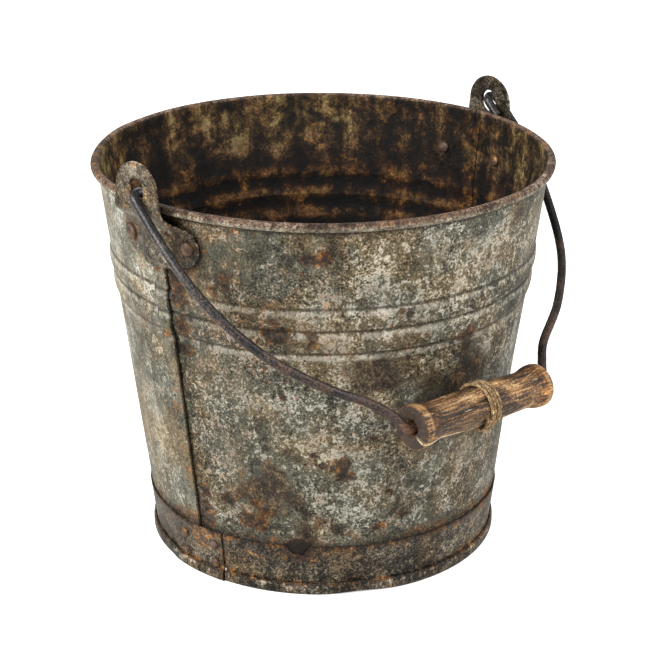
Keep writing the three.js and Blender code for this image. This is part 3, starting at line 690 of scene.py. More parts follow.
    bare = (1 - rusty) * (1 - inside) * (1 - stain_and_bail_shadow * 0.6)
    relief = blended((speck, 0.9), (mottle, 0.6), (crumb, 0.6)) - pits * 0.5 - hairline * 0.2 + rusty * 0.4
    wear(start, shader, Base_Color=colour, Metallic=bare * 0.3,
         Roughness=0.76 - bare * 0.28 + (speck - 0.5) * 0.6, Normal=relief.bump(0.0012, 0.9),
         Specular_IOR_Level=DULL)
    return finish


front_zinc = zinc_finish("front_zinc", 0.12, 0.0)
# The rear sheet, whose outside shows at the pail's left, is streakier and paler: partly its own weathering,
# partly painted light where that side faces the key lamp.
rear_zinc = zinc_finish("rear_zinc", 0.35, 0.14)
print("shader nodes in the front sheet:", len(front_zinc.node_tree.nodes))

# %% Hanging the half sheets in the frame
def near_ears(points):
    """How near each point lies to the outline of an ear's lobes, 1 right beside it."""
    spread = np.zeros(len(points))
    turned = np.degrees(np.arctan2(points[:, 1] - AXIS_Y, points[:, 0])) % 360
    radius = np.hypot(points[:, 0], points[:, 1] - AXIS_Y)
    for _, at, drop in EARS:
        across = np.radians((turned - at + 180) % 360 - 180) * radius
        for side in (-LOBE_X, LOBE_X):
            away = np.hypot(across - side, points[:, 2] + drop - LOBE_Z) - LOBE_RADIUS
            spread = np.maximum(spread, np.exp(-np.maximum(away, 0) / 4.5))
    return spread


halves = (("front_wall", front, front_zinc), ("rear_wall", rear, rear_zinc))
for name, (points, faces, marks), finish in halves:
    marks["edge"] = near_ears(points)
    wall = new_piece("made_" + name, points, faces, finish, marks)
    stand_in(wall, "pail", "zinc_sheet", name)

# %% [markdown]
# The foot hoop is a strip of heavier sheet wrapped round the wall, its lower edge hemmed outwards into a
# foot. It laps over its own start at the left, where four rivets hold it. Rust has eaten a bite out of
# its top edge at the front. The section is drawn once and carried round in small steps, and at each step
# the top is lowered where the bite is and the strip lifted where it laps.

# %% Foot hoop
HOOP_SHEET, HOOP_GAP, HOOP_TOP = 0.8, 0.3, 34
HEM_RADIUS, HEM_HEIGHT, HEM_CURL = 112.8, 7.4, 1.1
LAP_START, LAP_END, LAP_RAMP = 173, 192.1, 6
LAP_TOP, LAP_LOW, LAP_SHEET = 33, 9, 0.66
BITE_AT, BITE_REACH, BITE_DEPTH = 217.8, 3.6, 6.2
KNOCK_AT, KNOCK_REACH, KNOCK_LIFT = 238, 6, 1.1


def band_radius(z):
    return wall_outside(z) + HOOP_GAP + HOOP_SHEET / 2


def bite(azimuth):
    """How far the rusted edge of the hoop has dropped at an azimuth."""
    away = (azimuth - BITE_AT) / BITE_REACH
    jagged = 1 + 0.16 * math.sin(azimuth * 7.3) + 0.1 * math.sin(azimuth * 17.1)
    hollow = BITE_DEPTH * max(0, 1 - abs(away) ** 3) * jagged
    return hollow + 0.22 * math.sin(azimuth * 1.9) + 0.16 * math.sin(azimuth * 5.7 + 1)


def hoop_section(top):
    leg = HEM_RADIUS - HOOP_SHEET / 2
    turn = (leg - float(band_radius(2))) / 2
    turn_z = turn + HOOP_SHEET / 2
    band = [(float(band_radius(z)), z) for z in np.linspace(top, turn_z + 1.5, 12)]
    hem = arc(leg - turn, turn_z, turn, 180, 360, 14)
    curl = [(leg, HEM_HEIGHT - 2), (leg - 0.1, HEM_HEIGHT - HEM_CURL), (leg - 0.5, HEM_HEIGHT - 0.4),
            (leg - HEM_CURL, HEM_HEIGHT)]
    return ribbon(np.vstack([band, hem, curl]), HOOP_SHEET)


def hoop_ring(azimuth, lift):
    outline = hoop_section(HOOP_TOP - bite(azimuth % 360))
    radius = outline[:, 0] + lift + out_of_true(azimuth, outline[:, 1])
    knocked = KNOCK_LIFT * math.exp(-0.5 * ((azimuth % 360 - KNOCK_AT) / KNOCK_REACH) ** 2)
    foot_lift = knocked * (1 - soft_step(outline[:, 1], 4, 14))
    return round_axis(radius, azimuth, outline[:, 1] + foot_lift)


ramp_end = 360 + LAP_START - 1
around = np.linspace(LAP_END + 0.5, 360 + LAP_END, 560)
lifts = (HOOP_SHEET + HOOP_GAP) * soft_step(around, ramp_end - LAP_RAMP, ramp_end)
hoop_skin = loft([hoop_ring(azimuth, lift) for azimuth, lift in zip(around, lifts)])
lap_radius, lap_z = ribbon([(float(band_radius(z)), z) for z in (LAP_TOP, LAP_LOW)], LAP_SHEET).T
lap_skin = loft([round_axis(lap_radius + out_of_true(azimuth, lap_z), azimuth, lap_z)
                 for azimuth in np.linspace(LAP_START, LAP_END + 0.8, 30)])
hoop_points, hoop_faces = together(hoop_skin, lap_skin)
print("the bite leaves the hoop", round(HOOP_TOP - bite(BITE_AT), 1), "mm tall at its lowest")

# %% [markdown]
# The hoop and the ears are the same weathered metal as the wall, but browner: water stands on their edges
# and under them. One finish serves all of them, and takes its rust from a mark on each piece that is
# strongest at the cut edges and in the creases. A second mark lays a pale painted highlight, partly real
# wear, along the ears' cut edges and the hoop's hem.

# %% Finish for hoop, ears and bottom
OLD_ZINC = ((0.0, paint(20, 16, 11)), (0.22, paint(48, 42, 33)), (0.42, paint(82, 75, 62)),
            (0.62, paint(118, 110, 94)), (0.82, paint(164, 156, 138)), (1.0, paint(216, 210, 196)))


def brown_zinc_finish(name, rust_bias, paleness, shine, grain):
    finish, start, shader = new_finish(name)
    place = place_of(start)
    cloud = place.noise(24, 4, 0.6)
    mottle = place.noise(110, 6, 0.62, 0.5)
    speck = place.noise(360, 4, 0.62, 0.6)
    crumb = place.noise(850, 2, 0.55)
    tone = blended((cloud, 1.2), (mottle, 1.3), (speck, 1.6 * grain), (crumb, 1.6 * grain))
    colour = (tone - 0.07 + paleness).ramp(*OLD_ZINC)
    colour = colour.tinted(paint(250, 228, 196), place.noise(40, 3, 0.6).rise(0.42, 0.62) * 0.8)
    rough = blended((mottle, 2.6), (speck, 2.2 * grain), (crumb, 0.6 * grain)) - 0.5
    edge = mark_of(start, "edge")
    rusty = (edge * 0.9 + (cloud - 0.5) * 1.3 + rough * 0.8 + rust_bias).rise(0.34, 0.82)
    pins = pinholes(place, 170, 0.6, 0.17)
    rusty = (rusty + pins * 0.8 * grain).least(1)
    rust_tone = blended((place.noise(220, 6, 0.66), 1.9), (mottle, 1.0), (crumb, 0.7))
    rust_colour = (rust_tone - 0.11 - edge.rise(0.6, 1) * 0.22).ramp(*RUST)
    colour = rust_colour.over(colour, rusty * 0.88)
    # A pale painted highlight, partly real wear, along the ears' cut edges and round the hoop's hem.
    wear_and_highlight = mark_of(start, "wear_and_highlight")
    glint = (wear_and_highlight + rough * 0.8).rise(0.5, 0.95)
    colour = colour.coated(paint(196, 188, 172), glint * 0.65)
    bare = 1 - rusty
    relief = blended((speck, 0.9 * grain + 0.1), (mottle, 0.6), (crumb, 0.6 * grain)) + rusty * 0.3
    wear(start, shader, Base_Color=colour, Metallic=bare * shine,
         Roughness=0.7 - bare * 0.26 + (speck - 0.5) * 0.5 - glint * 0.1,
         Normal=relief.bump(0.0011, 0.85), Specular_IOR_Level=DULL)
    return finish


hoop_zinc = brown_zinc_finish("hoop_zinc", 0.0, -0.09, 0.3, 0.95)
heights = hoop_points[:, 2]
top_edge = np.exp(-np.maximum(HOOP_TOP - 0.5 - heights, 0) / 3.0)
azimuths = np.degrees(np.arctan2(hoop_points[:, 1] - AXIS_Y, hoop_points[:, 0])) % 360
bitten = np.exp(-0.5 * ((azimuths - BITE_AT) / 5.5) ** 2) * soft_step(heights, 16, 27)
crease = np.exp(-0.5 * ((heights - 7.6) / 1.3) ** 2) * 0.8
lap_edge = np.exp(-np.abs(azimuths - LAP_END) * 2.0 / 2.4) * 0.7
foot_wear = np.exp(-heights / 1.6) * 0.5
browned = 0.42 * soft_step(azimuths, 150, 172) * (1 - soft_step(azimuths, 226, 246))
browned = browned * soft_step(heights, 6, 26)
# The edge mark says where rust creeps; the second mark places a pale painted highlight, partly wear, round
# the hem.
hoop_marks = {"edge": np.maximum.reduce([top_edge, bitten, crease, lap_edge, foot_wear, browned]),
              "wear_and_highlight": np.exp(-0.5 * ((heights - 6.0) / 0.9) ** 2) * 0.55}
hoop = new_piece("made_foot_hoop", hoop_points, hoop_faces, hoop_zinc, hoop_marks)
stand_in(hoop, "pail", "rusty_zinc", "foot_hoop")

# %% Bottom and rim wire
BOTTOM_Z, BOTTOM_SHEET, FLANGE_LOW = 17, 0.8, 8.2


def flange_radius(z):
    return float(wall_outside(z)) - SHEET - HOOP_GAP - BOTTOM_SHEET / 2


corner = arc(flange_radius(BOTTOM_Z) - 2, BOTTOM_Z - 2, 2, 90, 0, 6)
bottom_path = np.vstack([[(radius, BOTTOM_Z) for radius in np.linspace(0.02, corner[0, 0] - 2, 14)], corner,
                         [(flange_radius(z), z) for z in (13, 11, FLANGE_LOW)]])
bottom_outline = ribbon(bottom_path, BOTTOM_SHEET)
turns = np.linspace(0, 360, 145)[:-1]
bottom_rings = []
for turn in turns:
    inner = 1 - soft_step(bottom_outline[:, 0], 60, 100)
    sag = 0.5 * inner * np.sin(np.radians(2 * turn + bottom_outline[:, 0])) - 0.8 * inner
    bottom_rings.append(round_axis(bottom_outline[:, 0], turn, bottom_outline[:, 1] + sag))
bottom_points, bottom_faces = loft(bottom_rings, joined=True)
bottom_edge = np.exp(-np.abs(np.hypot(bottom_points[:, 0], bottom_points[:, 1] - AXIS_Y) - 106) / 14)
bottom_zinc = brown_zinc_finish("bottom_zinc", 0.22, -0.16, 0.2, 1.0)
bottom = new_piece("made_bottom_disc", bottom_points, bottom_faces, bottom_zinc,
                   {"edge": bottom_edge, "wear_and_highlight": np.zeros(len(bottom_points))})
stand_in(bottom, "pail", "rusty_zinc", "bottom_disc")
nodes["rim_wire"].data.materials.clear()
nodes["rim_wire"].data.materials.append(bottom_zinc)

# %% [markdown]
# An ear is cut from plate as a three-lobed blank, pressed over the seam and bent out past the rim to a
# flat tongue. It is made that way here too. The blank's outline and its slot are drawn flat and filled
# with small triangles, every point is then bent to its place, and the sheet is given its thickness and
# slightly rounded edges. A lip is pressed up round the slot on the inside.

# %% Blank of an ear
EAR_SHEET, TONGUE_TOP, TONGUE_RADIUS, TONGUE_BASE, TONGUE_BASE_HALF = 1.6, 277, 17.8, 247.5, 19.4
EAR_LOW, FLANGE_TOP = 211, 237
SLOT_Z, SLOT_RADIUS, SLOT_STRAIGHT = 260, 6, 2.6
LIP_HEIGHT, LIP_WIDTH = 0.9, 2.2
BLANK_GRID, BORDER_GAP = 1.5, 0.9


def bow(start, pull, end, steps):
    share = np.linspace(0, 1, steps + 1)[:, None]
    start, pull, end = (np.array(p, float) for p in (start, pull, end))
    return start * (1 - share) ** 2 + 2 * pull * share * (1 - share) + end * share ** 2


def blank_outline():
    tip = TONGUE_TOP - TONGUE_RADIUS
    shoulder = LOBE_Z + LOBE_RADIUS
    left_lobe = arc(-LOBE_X, LOBE_Z, LOBE_RADIUS, 100, 262, 26)
    right_lobe = arc(LOBE_X, LOBE_Z, LOBE_RADIUS, 278, 440, 26)
    side = np.linspace((-TONGUE_RADIUS, tip), (-TONGUE_BASE_HALF, TONGUE_BASE), 7)[1:]
    left_waist = bow((-TONGUE_BASE_HALF, TONGUE_BASE), (-TONGUE_BASE_HALF, shoulder), left_lobe[0], 6)[1:-1]
    belly = bow(left_lobe[-1], (0, EAR_LOW - 3), right_lobe[0], 20)[1:-1]
    right_waist = bow(right_lobe[-1], (TONGUE_BASE_HALF, shoulder), (TONGUE_BASE_HALF, TONGUE_BASE), 6)[1:]
    back = np.linspace((TONGUE_BASE_HALF, TONGUE_BASE), (TONGUE_RADIUS, tip), 7)[1:-1]
    return np.vstack([arc(0, tip, TONGUE_RADIUS, 0, 180, 40), side, left_waist, left_lobe, belly, right_lobe,
                      right_waist, back])


def slot_outline(radius, steps):
    top = SLOT_Z + SLOT_STRAIGHT / 2
    return np.vstack([arc(0, top, radius, 0, 180, steps),
                      arc(0, top - SLOT_STRAIGHT, radius, 180, 360, steps)])


def within(points, outline):
    inside = np.zeros(len(points), bool)
    for (y1, z1), (y2, z2) in zip(outline, np.roll(outline, -1, 0)):
        crosses = (z1 > points[:, 1]) != (z2 > points[:, 1])
        at = y1 + (points[:, 1] - z1) * (y2 - y1) / (z2 - z1 if z2 != z1 else 1)
        inside ^= crosses & (points[:, 0] < at)
    return inside


def beside(points, outline):
    return np.sqrt(((points[:, None] - outline[None]) ** 2).sum(-1)).min(1)


outline, hole = blank_outline(), slot_outline(SLOT_RADIUS, 18)
grid_y, grid_z = np.meshgrid(np.arange(-36, 37, BLANK_GRID), np.arange(208, 279, BLANK_GRID))
grid = np.stack([grid_y, grid_z], -1).reshape(-1, 2)
fill = grid[within(grid, outline) & ~within(grid, hole)]
fill = fill[(beside(fill, outline) > BORDER_GAP) & (beside(fill, hole) > BORDER_GAP)]
flat_points = np.vstack([outline, hole, fill])
loops = [(k, (k + 1) % len(outline)) for k in range(len(outline))]
loops += [(len(outline) + k, len(outline) + (k + 1) % len(hole)) for k in range(len(hole))]
laid = delaunay_2d_cdt([Vector(p) for p in flat_points], loops, [], 1, 1e-5)
blank = np.array([tuple(p) for p in laid[0]])
triangles = np.array([face for face in laid[2] if len(face) == 3])
centres = blank[triangles].mean(1)
triangles = triangles[within(centres, outline) & ~within(centres, hole)]
print("triangles in the flat blank:", len(triangles))

# %% Bending the blank to the wall
rest = float(wall_outside(0)) + HOOP_GAP + EAR_SHEET / 2
tongue_x = TONGUE_FACE + EAR_SHEET / 2
bend_z = [EAR_LOW - 4, FLANGE_TOP - 2, FLANGE_TOP, TONGUE_BASE - 1.6, TONGUE_BASE + 0.6, TONGUE_TOP + 4]
bend_x = [rest + bend_z[0] * TAPER, rest + bend_z[1] * TAPER, rest + FLANGE_TOP * TAPER + 0.8,
          tongue_x - 1.2, tongue_x, tongue_x]


def bent(y, z):
    x = np.mean([np.interp(z + shift, bend_z, bend_x) for shift in np.linspace(-1.5, 1.5, 9)], 0)
    flat = soft_step(z, FLANGE_TOP - 4, TONGUE_BASE)
    curl = (x - np.sqrt(x * x - y * y)) * (1 - flat)
    reach = SEAM_WIDTH / 2 + 4
    rise = 3 * (SHEET + SEAM_GAP) + HOOP_GAP
    over = rise * (1 - soft_step(np.abs(y), reach, reach + 6)) * (1 - flat)
    return x - curl + over, flat


def hung(local, azimuth, drop, flat):
    """From the ear's own axes, x outwards and y along the wall, to the frame."""
    turn = math.radians(azimuth)
    x, y, z = (local - np.array([drop * TAPER, 0, drop])).T
    swing = azimuth + np.degrees(np.arctan2(y, x))
    x = x + out_of_true(swing, z) * (1 - flat)
    turned_y = AXIS_Y + x * math.sin(turn) + y * math.cos(turn)
    return np.stack([x * math.cos(turn) - y * math.sin(turn), turned_y, z], -1)


def applied(piece):
    """The piece with its modifiers made real, and none left on it."""
    graph = bpy.context.evaluated_depsgraph_get()
    mesh = bpy.data.meshes.new_from_object(piece.evaluated_get(graph), depsgraph=graph)
    piece.modifiers.clear()
    old = piece.data
    piece.data = mesh
    bpy.data.meshes.remove(old)
    return piece


ear_zinc = brown_zinc_finish("ear_zinc", -0.06, -0.05, 0.45, 0.7)


def lip_skin(azimuth, drop):
    rings = []
    for depth, radial in arc(0, 0, 1, 0, 180, 8):
        swell = slot_outline(SLOT_RADIUS + LIP_WIDTH / 2 + depth * LIP_WIDTH / 2, 18)
        x = np.full(len(swell), TONGUE_FACE + 0.2 - radial * (LIP_HEIGHT + 0.2))
        rings.append(hung(np.column_stack([x, swell]), azimuth, drop, 1.0))
    return loft(rings, joined=True)


for side, azimuth, drop in EARS:
    x, flat = bent(blank[:, 0], blank[:, 1])
    middle = hung(np.column_stack([x, blank]), azimuth, drop, flat)
    border = beside(blank, np.vstack([outline, hole]))
    bend_line = np.exp(-0.5 * ((blank[:, 1] - TONGUE_BASE) / 2.2) ** 2)
    from_rivet = np.hypot(np.abs(blank[:, 0]) - RIVET_ACROSS, blank[:, 1] - RIVET_Z) - 5
    halo = np.exp(-np.maximum(from_rivet, 0) / 2.4)
    # The second mark places a pale painted highlight, partly wear, along the cut edges.
    marks = {"edge": np.maximum.reduce([np.exp(-border / 1.6) * 0.7, bend_line * 0.4, halo * 0.95]),
             "wear_and_highlight": np.exp(-border / 0.4) * 0.55}
    ear = new_piece(f"made_{side}_ear", middle, triangles.tolist(), ear_zinc, marks)
    plate = ear.modifiers.new("thickness", "SOLIDIFY")
    plate.thickness = EAR_SHEET * MM
    plate.offset = 0
    plate.use_even_offset = True
    plate.use_quality_normals = True
    soften = ear.modifiers.new("soft_edges", "BEVEL")
    soften.width = 0.45 * MM
    soften.segments = 2
    soften.limit_method = "ANGLE"
    soften.angle_limit = math.radians(50)
    applied(ear)
    lip = new_piece("lip", *lip_skin(azimuth, drop), ear_zinc)
    with bpy.context.temp_override(active_object=ear, selected_editable_objects=[ear, lip]):
        bpy.ops.object.join()
    ear.data.shade_smooth()
    ear.data.set_sharp_from_angle(angle=EDGE_ANGLE)
    stand_in(ear, "pail", "rusty_zinc", f"{side}_ear")

# %% [markdown]
# Rivets repeat, so they are set by a geometry tree. A few loose points say where each one goes and which
# way it faces. The tree makes one rivet from a domed head, a shank and a flatter tail, puts a copy on
# each point, varies their size a little and roughens them as a hammer would. The inputs have names, so
# the larger ear rivets and the smaller hoop rivets come from the same tree.

# %% A geometry tree with named inputs
def geometry_tree(name, inputs):
    tree = bpy.data.node_groups.new(name, "GeometryNodeTree")
    tree.interface.new_socket("Geometry", in_out="INPUT", socket_type="NodeSocketGeometry")
    for label, (kind, value) in inputs.items():
        socket = tree.interface.new_socket(label, in_out="INPUT", socket_type="NodeSocket" + kind)
        if value is not None:
            socket.default_value = value
    tree.interface.new_socket("Geometry", in_out="OUTPUT", socket_type="NodeSocketGeometry")
    entry = tree.nodes.new("NodeGroupInput")
    way_out = tree.nodes.new("NodeGroupOutput")
    given = {label: Tap(tree, entry.outputs[label]) for label in ("Geometry", *inputs)}
    return tree, given, way_out


def grown(name, tree, points, edges, values, marks=None):
    """Lets a tree grow from some points, and keeps what it made as a plain mesh."""
    seed = bpy.data.meshes.new(name + "_seed")
    seed.from_pydata((np.asarray(points) * MM).tolist(), edges, [])
    for mark, numbers in (marks or {}).items():
        seed.attributes.new(mark, "FLOAT_VECTOR", "POINT").data.foreach_set(
            "vector", np.asarray(numbers, np.float32).ravel())
    base = bpy.data.objects.new(name, seed)
    scene.collection.objects.link(base)
    modifier = base.modifiers.new("grow", "NODES")
    modifier.node_group = tree
    for item in tree.interface.items_tree:
        if item.in_out == "INPUT" and item.name in values:
            modifier[item.identifier] = values[item.name]
    base.update_tag()
    bpy.context.view_layer.update()
    return applied(base)


def roughened(here, shape, scale, detail, reach):
    """A shape shaded smooth, its points pushed out or in by a noise, at most as far as a reach."""
    blows = here.make("ShaderNodeTexNoise", inputs={"Scale": scale, "Detail": detail}, output="Fac")
    push = here.make("GeometryNodeInputNormal").scaled((blows - 0.5) * 2 * reach)
    moved = here.make("GeometryNodeSetPosition", inputs={"Geometry": shape, "Offset": push})
    return here.make("GeometryNodeSetShadeSmooth", inputs={"Geometry": moved})


def even_line(here, spacing):
    """The edges that a tree was given, as lines with even steps."""
    line = here.make("GeometryNodeMeshToCurve", inputs={"Mesh": here})
    return here.make("GeometryNodeResampleCurve", {"mode": "LENGTH"}, {"Curve": line, "Length": spacing})


def tube(here, line, sides, radius):
    ring = here.make("GeometryNodeCurvePrimitiveCircle", inputs={"Resolution": sides, "Radius": radius})
    return here.make("GeometryNodeCurveToMesh", inputs={
        "Curve": line, "Profile Curve": ring, "Fill Caps": True})


def leave_tree(shape, given, way_out):
    """Gives what a tree made its material, and hands it out."""
    finished = shape.make("GeometryNodeSetMaterial", inputs={
        "Geometry": shape, "Material": given["Material"]})
    feed(shape.tree, way_out.inputs[0], finished)


# %% Riveting tree
tree, given, way_out = geometry_tree("riveting", {
    "Head Radius": ("Float", 0.0046), "Head Height": ("Float", 0.0026), "Tail Radius": ("Float", 0.0038),
    "Tail Height": ("Float", 0.0017), "Shank Radius": ("Float", 0.0025), "Length": ("Float", 0.004),
    "Unevenness": ("Float", 0.0002), "Seed": ("Int", 4), "Material": ("Material", None),
})
here = given["Geometry"]
ball = {"Segments": 28, "Rings": 14}


def sized(wide, tall):
    return here.make("ShaderNodeCombineXYZ", inputs={"X": wide, "Y": wide, "Z": tall})


head_place = here.make("ShaderNodeCombineXYZ", inputs={"Z": given["Length"]})
head = here.make("GeometryNodeTransform", inputs={
    "Geometry": here.make("GeometryNodeMeshUVSphere", inputs=ball), "Translation": head_place,
    "Scale": sized(given["Head Radius"], given["Head Height"])})
tail = here.make("GeometryNodeTransform", inputs={
    "Geometry": here.make("GeometryNodeMeshUVSphere", inputs=ball),
    "Scale": sized(given["Tail Radius"], given["Tail Height"])})
shank_middle = here.make("ShaderNodeCombineXYZ", inputs={"Z": given["Length"] * 0.5})
shank = here.make("GeometryNodeTransform", inputs={
    "Geometry": here.make("GeometryNodeMeshCylinder", inputs={
        "Vertices": 20, "Radius": given["Shank Radius"], "Depth": given["Length"]}),
    "Translation": shank_middle})
joined = here.make("GeometryNodeJoinGeometry")
for shape in (head, shank, tail):
    here.tree.links.new(shape.socket, joined.socket.node.inputs[0])
facing = here.make("GeometryNodeInputNamedAttribute", {"data_type": "FLOAT_VECTOR"}, {"Name": "facing"})
turned = here.make("FunctionNodeAlignRotationToVector", {"axis": "Z"}, {"Vector": facing})
size = here.make("FunctionNodeRandomValue", {"data_type": "FLOAT"}, {
    2: 0.95, 3: 1.05, "Seed": given["Seed"]}, 1)
set_rivets = here.make("GeometryNodeInstanceOnPoints", inputs={
    "Points": here, "Instance": joined, "Rotation": turned, "Scale": size})
real = here.make("GeometryNodeRealizeInstances", inputs={"Geometry": set_rivets})
leave_tree(roughened(here, real, 330.0, 2.0, given["Unevenness"]), given, way_out)
riveting = tree
print("nodes in the riveting tree:", len(riveting.nodes))

# %% Rivet finish and places
TAIL_GAP = 0.75
LAP_RIVETS = (176.2, 189)


def rivet_finish(name):
    finish, start, shader = new_finish(name)
    place = place_of(start)
    tone = place.noise(190, 5, 0.65) * 0.6 + place.noise(700, 4, 0.7) * 0.4
    colour = ((tone - 0.5) * 2.4 + 0.4).ramp(
        (0, paint(30, 22, 17)), (0.35, paint(66, 50, 40)),
        (0.6, paint(102, 80, 64)), (1, paint(160, 132, 108)))
    orange = ((place.noise(140, 4, 0.6) - 0.5) * 2.4 + 0.5).ramp(*RUST)
    colour = orange.over(colour, place.noise(170, 4, 0.6).rise(0.48, 0.62) * 0.7)
    wear(start, shader, Base_Color=colour, Metallic=0.3, Roughness=0.5 + (tone - 0.5) * 0.5,
         Normal=tone.bump(0.0008, 0.6))
    return finish


def rivet_place(azimuth, z, depth):
    turn = math.radians(azimuth)
    facing = np.array([math.cos(turn), math.sin(turn), -TAPER])
    facing /= np.linalg.norm(facing)
    radius = float(wall_outside(z)) - SHEET + float(out_of_true(azimuth, z))
    return round_axis(radius, azimuth, z) - facing * (depth + TAIL_GAP), facing


rivet_steel = rivet_finish("rivet_steel")
ear_grip = SHEET + HOOP_GAP + EAR_SHEET + TAIL_GAP + HOOP_GAP
swing = math.degrees(RIVET_ACROSS / float(wall_outside(RIVET_Z)))
ear_places = [rivet_place(azimuth + way * swing, RIVET_Z - drop, 0)
              for _, azimuth, drop in EARS for way in (-1, 1)]
ear_rivets = grown("made_ear_rivets", riveting, [p for p, _ in ear_places], [], {
    "Length": ear_grip * MM, "Material": rivet_steel}, {"facing": [f for _, f in ear_places]})
stand_in(ear_rivets, "pail", "rusty_steel",
         *[f"{side}_ear_rivet_{k}" for side in ("left", "right") for k in (1, 2)])

for number, z, depth in ((1, 11.6, HOOP_GAP + BOTTOM_SHEET), (3, 25, 0)):
    row = [rivet_place(azimuth, z, depth) for azimuth in LAP_RIVETS]
    length = depth + SHEET + 2 * HOOP_GAP + 2 * HOOP_SHEET + TAIL_GAP + HOOP_GAP
    some = grown(f"made_hoop_rivets_{number}", riveting, [p for p, _ in row], [], {
        "Head Radius": 0.003, "Head Height": 0.0018, "Tail Radius": 0.0024, "Tail Height": 0.0012,
        "Shank Radius": 0.0015, "Length": length * MM, "Seed": 7 + number, "Material": rivet_steel},
        {"facing": [f for _, f in row]})
    stand_in(some, "pail", "rusty_steel", f"hoop_rivet_{number}", f"hoop_rivet_{number + 1}")

# %% [markdown]
# The bail is one length of drawn wire. A hook at each end goes through the slot of an ear, and the arms
# were bent by hand, so the two aren't alike. Its path is a list of points joined by a smooth curve, laid
# in the slanting plane in which the bail hangs at rest. A tree then carries a round section along it
# and pits it a little.

# %% Path of the bail
REST_TILT = math.radians(44)
HINGE_Z, EAR_LINE_Y = 260.5, AXIS_Y - EAR_OFFSET
HOOK_OUT, HOOK_IN, HOOK_LENGTH, HOOK_SHANK = 157.5, 148.2, 15.5, 3
GRIP_MIDDLE, GRIP_TURN, GRIP_LENGTH = np.array([-11.5, 192]), math.radians(3), 110
LEFT_ARM = [(-157.5, 32), (-155, 62), (-147, 92), (-132, 120.6), (-104, 150.6), (-84, 166), (-73.6, 178.2)]
RIGHT_ARM = [(57, 182.6), (66, 172.6), (99, 150.6), (127, 121), (145, 82), (154, 50), (157.5, 26)]


def hanging(points):
    """From the bail's plane, along the ears and away from them, to the frame."""
    u, v = np.asarray(points, float).T
    return np.stack([u, EAR_LINE_Y - v * math.cos(REST_TILT), HINGE_Z - v * math.sin(REST_TILT)], -1)


def eased(points, steps):
    """A smooth curve through points, its bends eased by the distance between them."""
    points = np.asarray(points, float)
    ends = np.vstack([2 * points[0] - points[1], points, 2 * points[-1] - points[-2]])
    curve = []
    for a, b, c, d in zip(ends, ends[1:], ends[2:], ends[3:]):
        before, between, after = (np.linalg.norm(q - p) ** 0.5 for p, q in ((a, b), (b, c), (c, d)))
        leave = ((b - a) / before - (c - a) / (before + between) + (c - b) / between) * between
        arrive = ((c - b) / between - (d - b) / (between + after) + (d - c) / after) * between
        for s in np.linspace(0, 1, steps, endpoint=False):
            curve.append(b + leave * s + (3 * (c - b) - 2 * leave - arrive) * s ** 2
                         + (2 * (b - c) + leave + arrive) * s ** 3)
    return np.array(curve + [points[-1]])


along_grip = np.array([math.cos(GRIP_TURN), math.sin(GRIP_TURN)])


def on_grip(reach):
    """A point of the bail's plane on the line of the grip."""
    return tuple(GRIP_MIDDLE + along_grip * reach)


bend = (HOOK_OUT - HOOK_IN) / 2
middle = (HOOK_OUT + HOOK_IN) / 2
half = GRIP_LENGTH / 2
left_arm = eased([(-HOOK_OUT, bend + HOOK_SHANK), *LEFT_ARM, on_grip(-half - 2.5), on_grip(6 - half)], 12)
right_arm = eased([on_grip(half - 6), on_grip(half + 2.5), *RIGHT_ARM, (HOOK_OUT, bend + HOOK_SHANK)], 12)
bail_path = np.vstack([
    [(-HOOK_IN, HOOK_LENGTH)], arc(-middle, bend, bend, 360, 180, 24), left_arm, right_arm,
    arc(middle, bend, bend, 360, 180, 24), [(HOOK_IN, HOOK_LENGTH)]])
print("wire in the bail, mm:", round(float(np.linalg.norm(np.diff(bail_path, axis=0), axis=1).sum())))

# %% Wire tree
tree, given, way_out = geometry_tree("drawn_wire", {
    "Radius": ("Float", 0.0028), "Pitting": ("Float", 0.00012), "Spacing": ("Float", 0.0009),
    "Sides": ("Int", 24), "Material": ("Material", None),
})
here = given["Geometry"]
swept = tube(here, even_line(here, given["Spacing"]), given["Sides"], given["Radius"])
leave_tree(roughened(here, swept, 420.0, 3.0, given["Pitting"]), given, way_out)
drawn_wire = tree
print("nodes in the wire tree:", len(drawn_wire.nodes))

# %% Bail finish
def bail_finish(name):
    finish, start, shader = new_finish(name)
    place = place_of(start)
    run = place.noise(34, 4, 0.6)
    speck = place.noise(900, 3, 0.6)
    tone = run * 0.4 + speck * 0.6
    steel = ((tone - 0.5) * 2.2 + 0.42).ramp(
        (0, paint(18, 18, 19)), (0.4, paint(50, 49, 49)),
        (0.65, paint(84, 82, 79)), (1, paint(150, 146, 139)))
    rust = ((tone - 0.5) * 2.8 + 0.42).ramp(*RUST)
    low = 1 - (place.part("Z") / MM).rise(140, 235)
    rusty = (run * 0.9 + (speck - 0.5) * 0.8 + low * 0.22).rise(0.5, 0.8)
    colour = rust.tinted(paint(206, 186, 180), 1.0).over(steel, rusty * 0.75)
    wear(start, shader, Base_Color=colour, Metallic=0.8 - rusty * 0.6, Roughness=0.38 + rusty * 0.25,
         Normal=tone.bump(0.0007, 0.7))
    return finish


bail_steel = bail_finish("bail_steel")
wire_points = hanging(bail_path)
wire_edges = [(k, k + 1) for k in range(len(wire_points) - 1)]
bail = grown("made_bail", drawn_wire, wire_points, wire_edges, {"Material": bail_steel})
stand_in(bail, "bail", "bail_steel", "bail")

# %% [markdown]
# The grip was turned on a lathe with a slight flare at each end, and has weathered for years. The softer
# wood has worn away between the hard lines of the grain, drying cracks run along it, and the left end has
# split open underneath. The lathe's outline is carried round in steps that crowd together at the split,
# and each point is pushed in where grain, crack or split passes it.

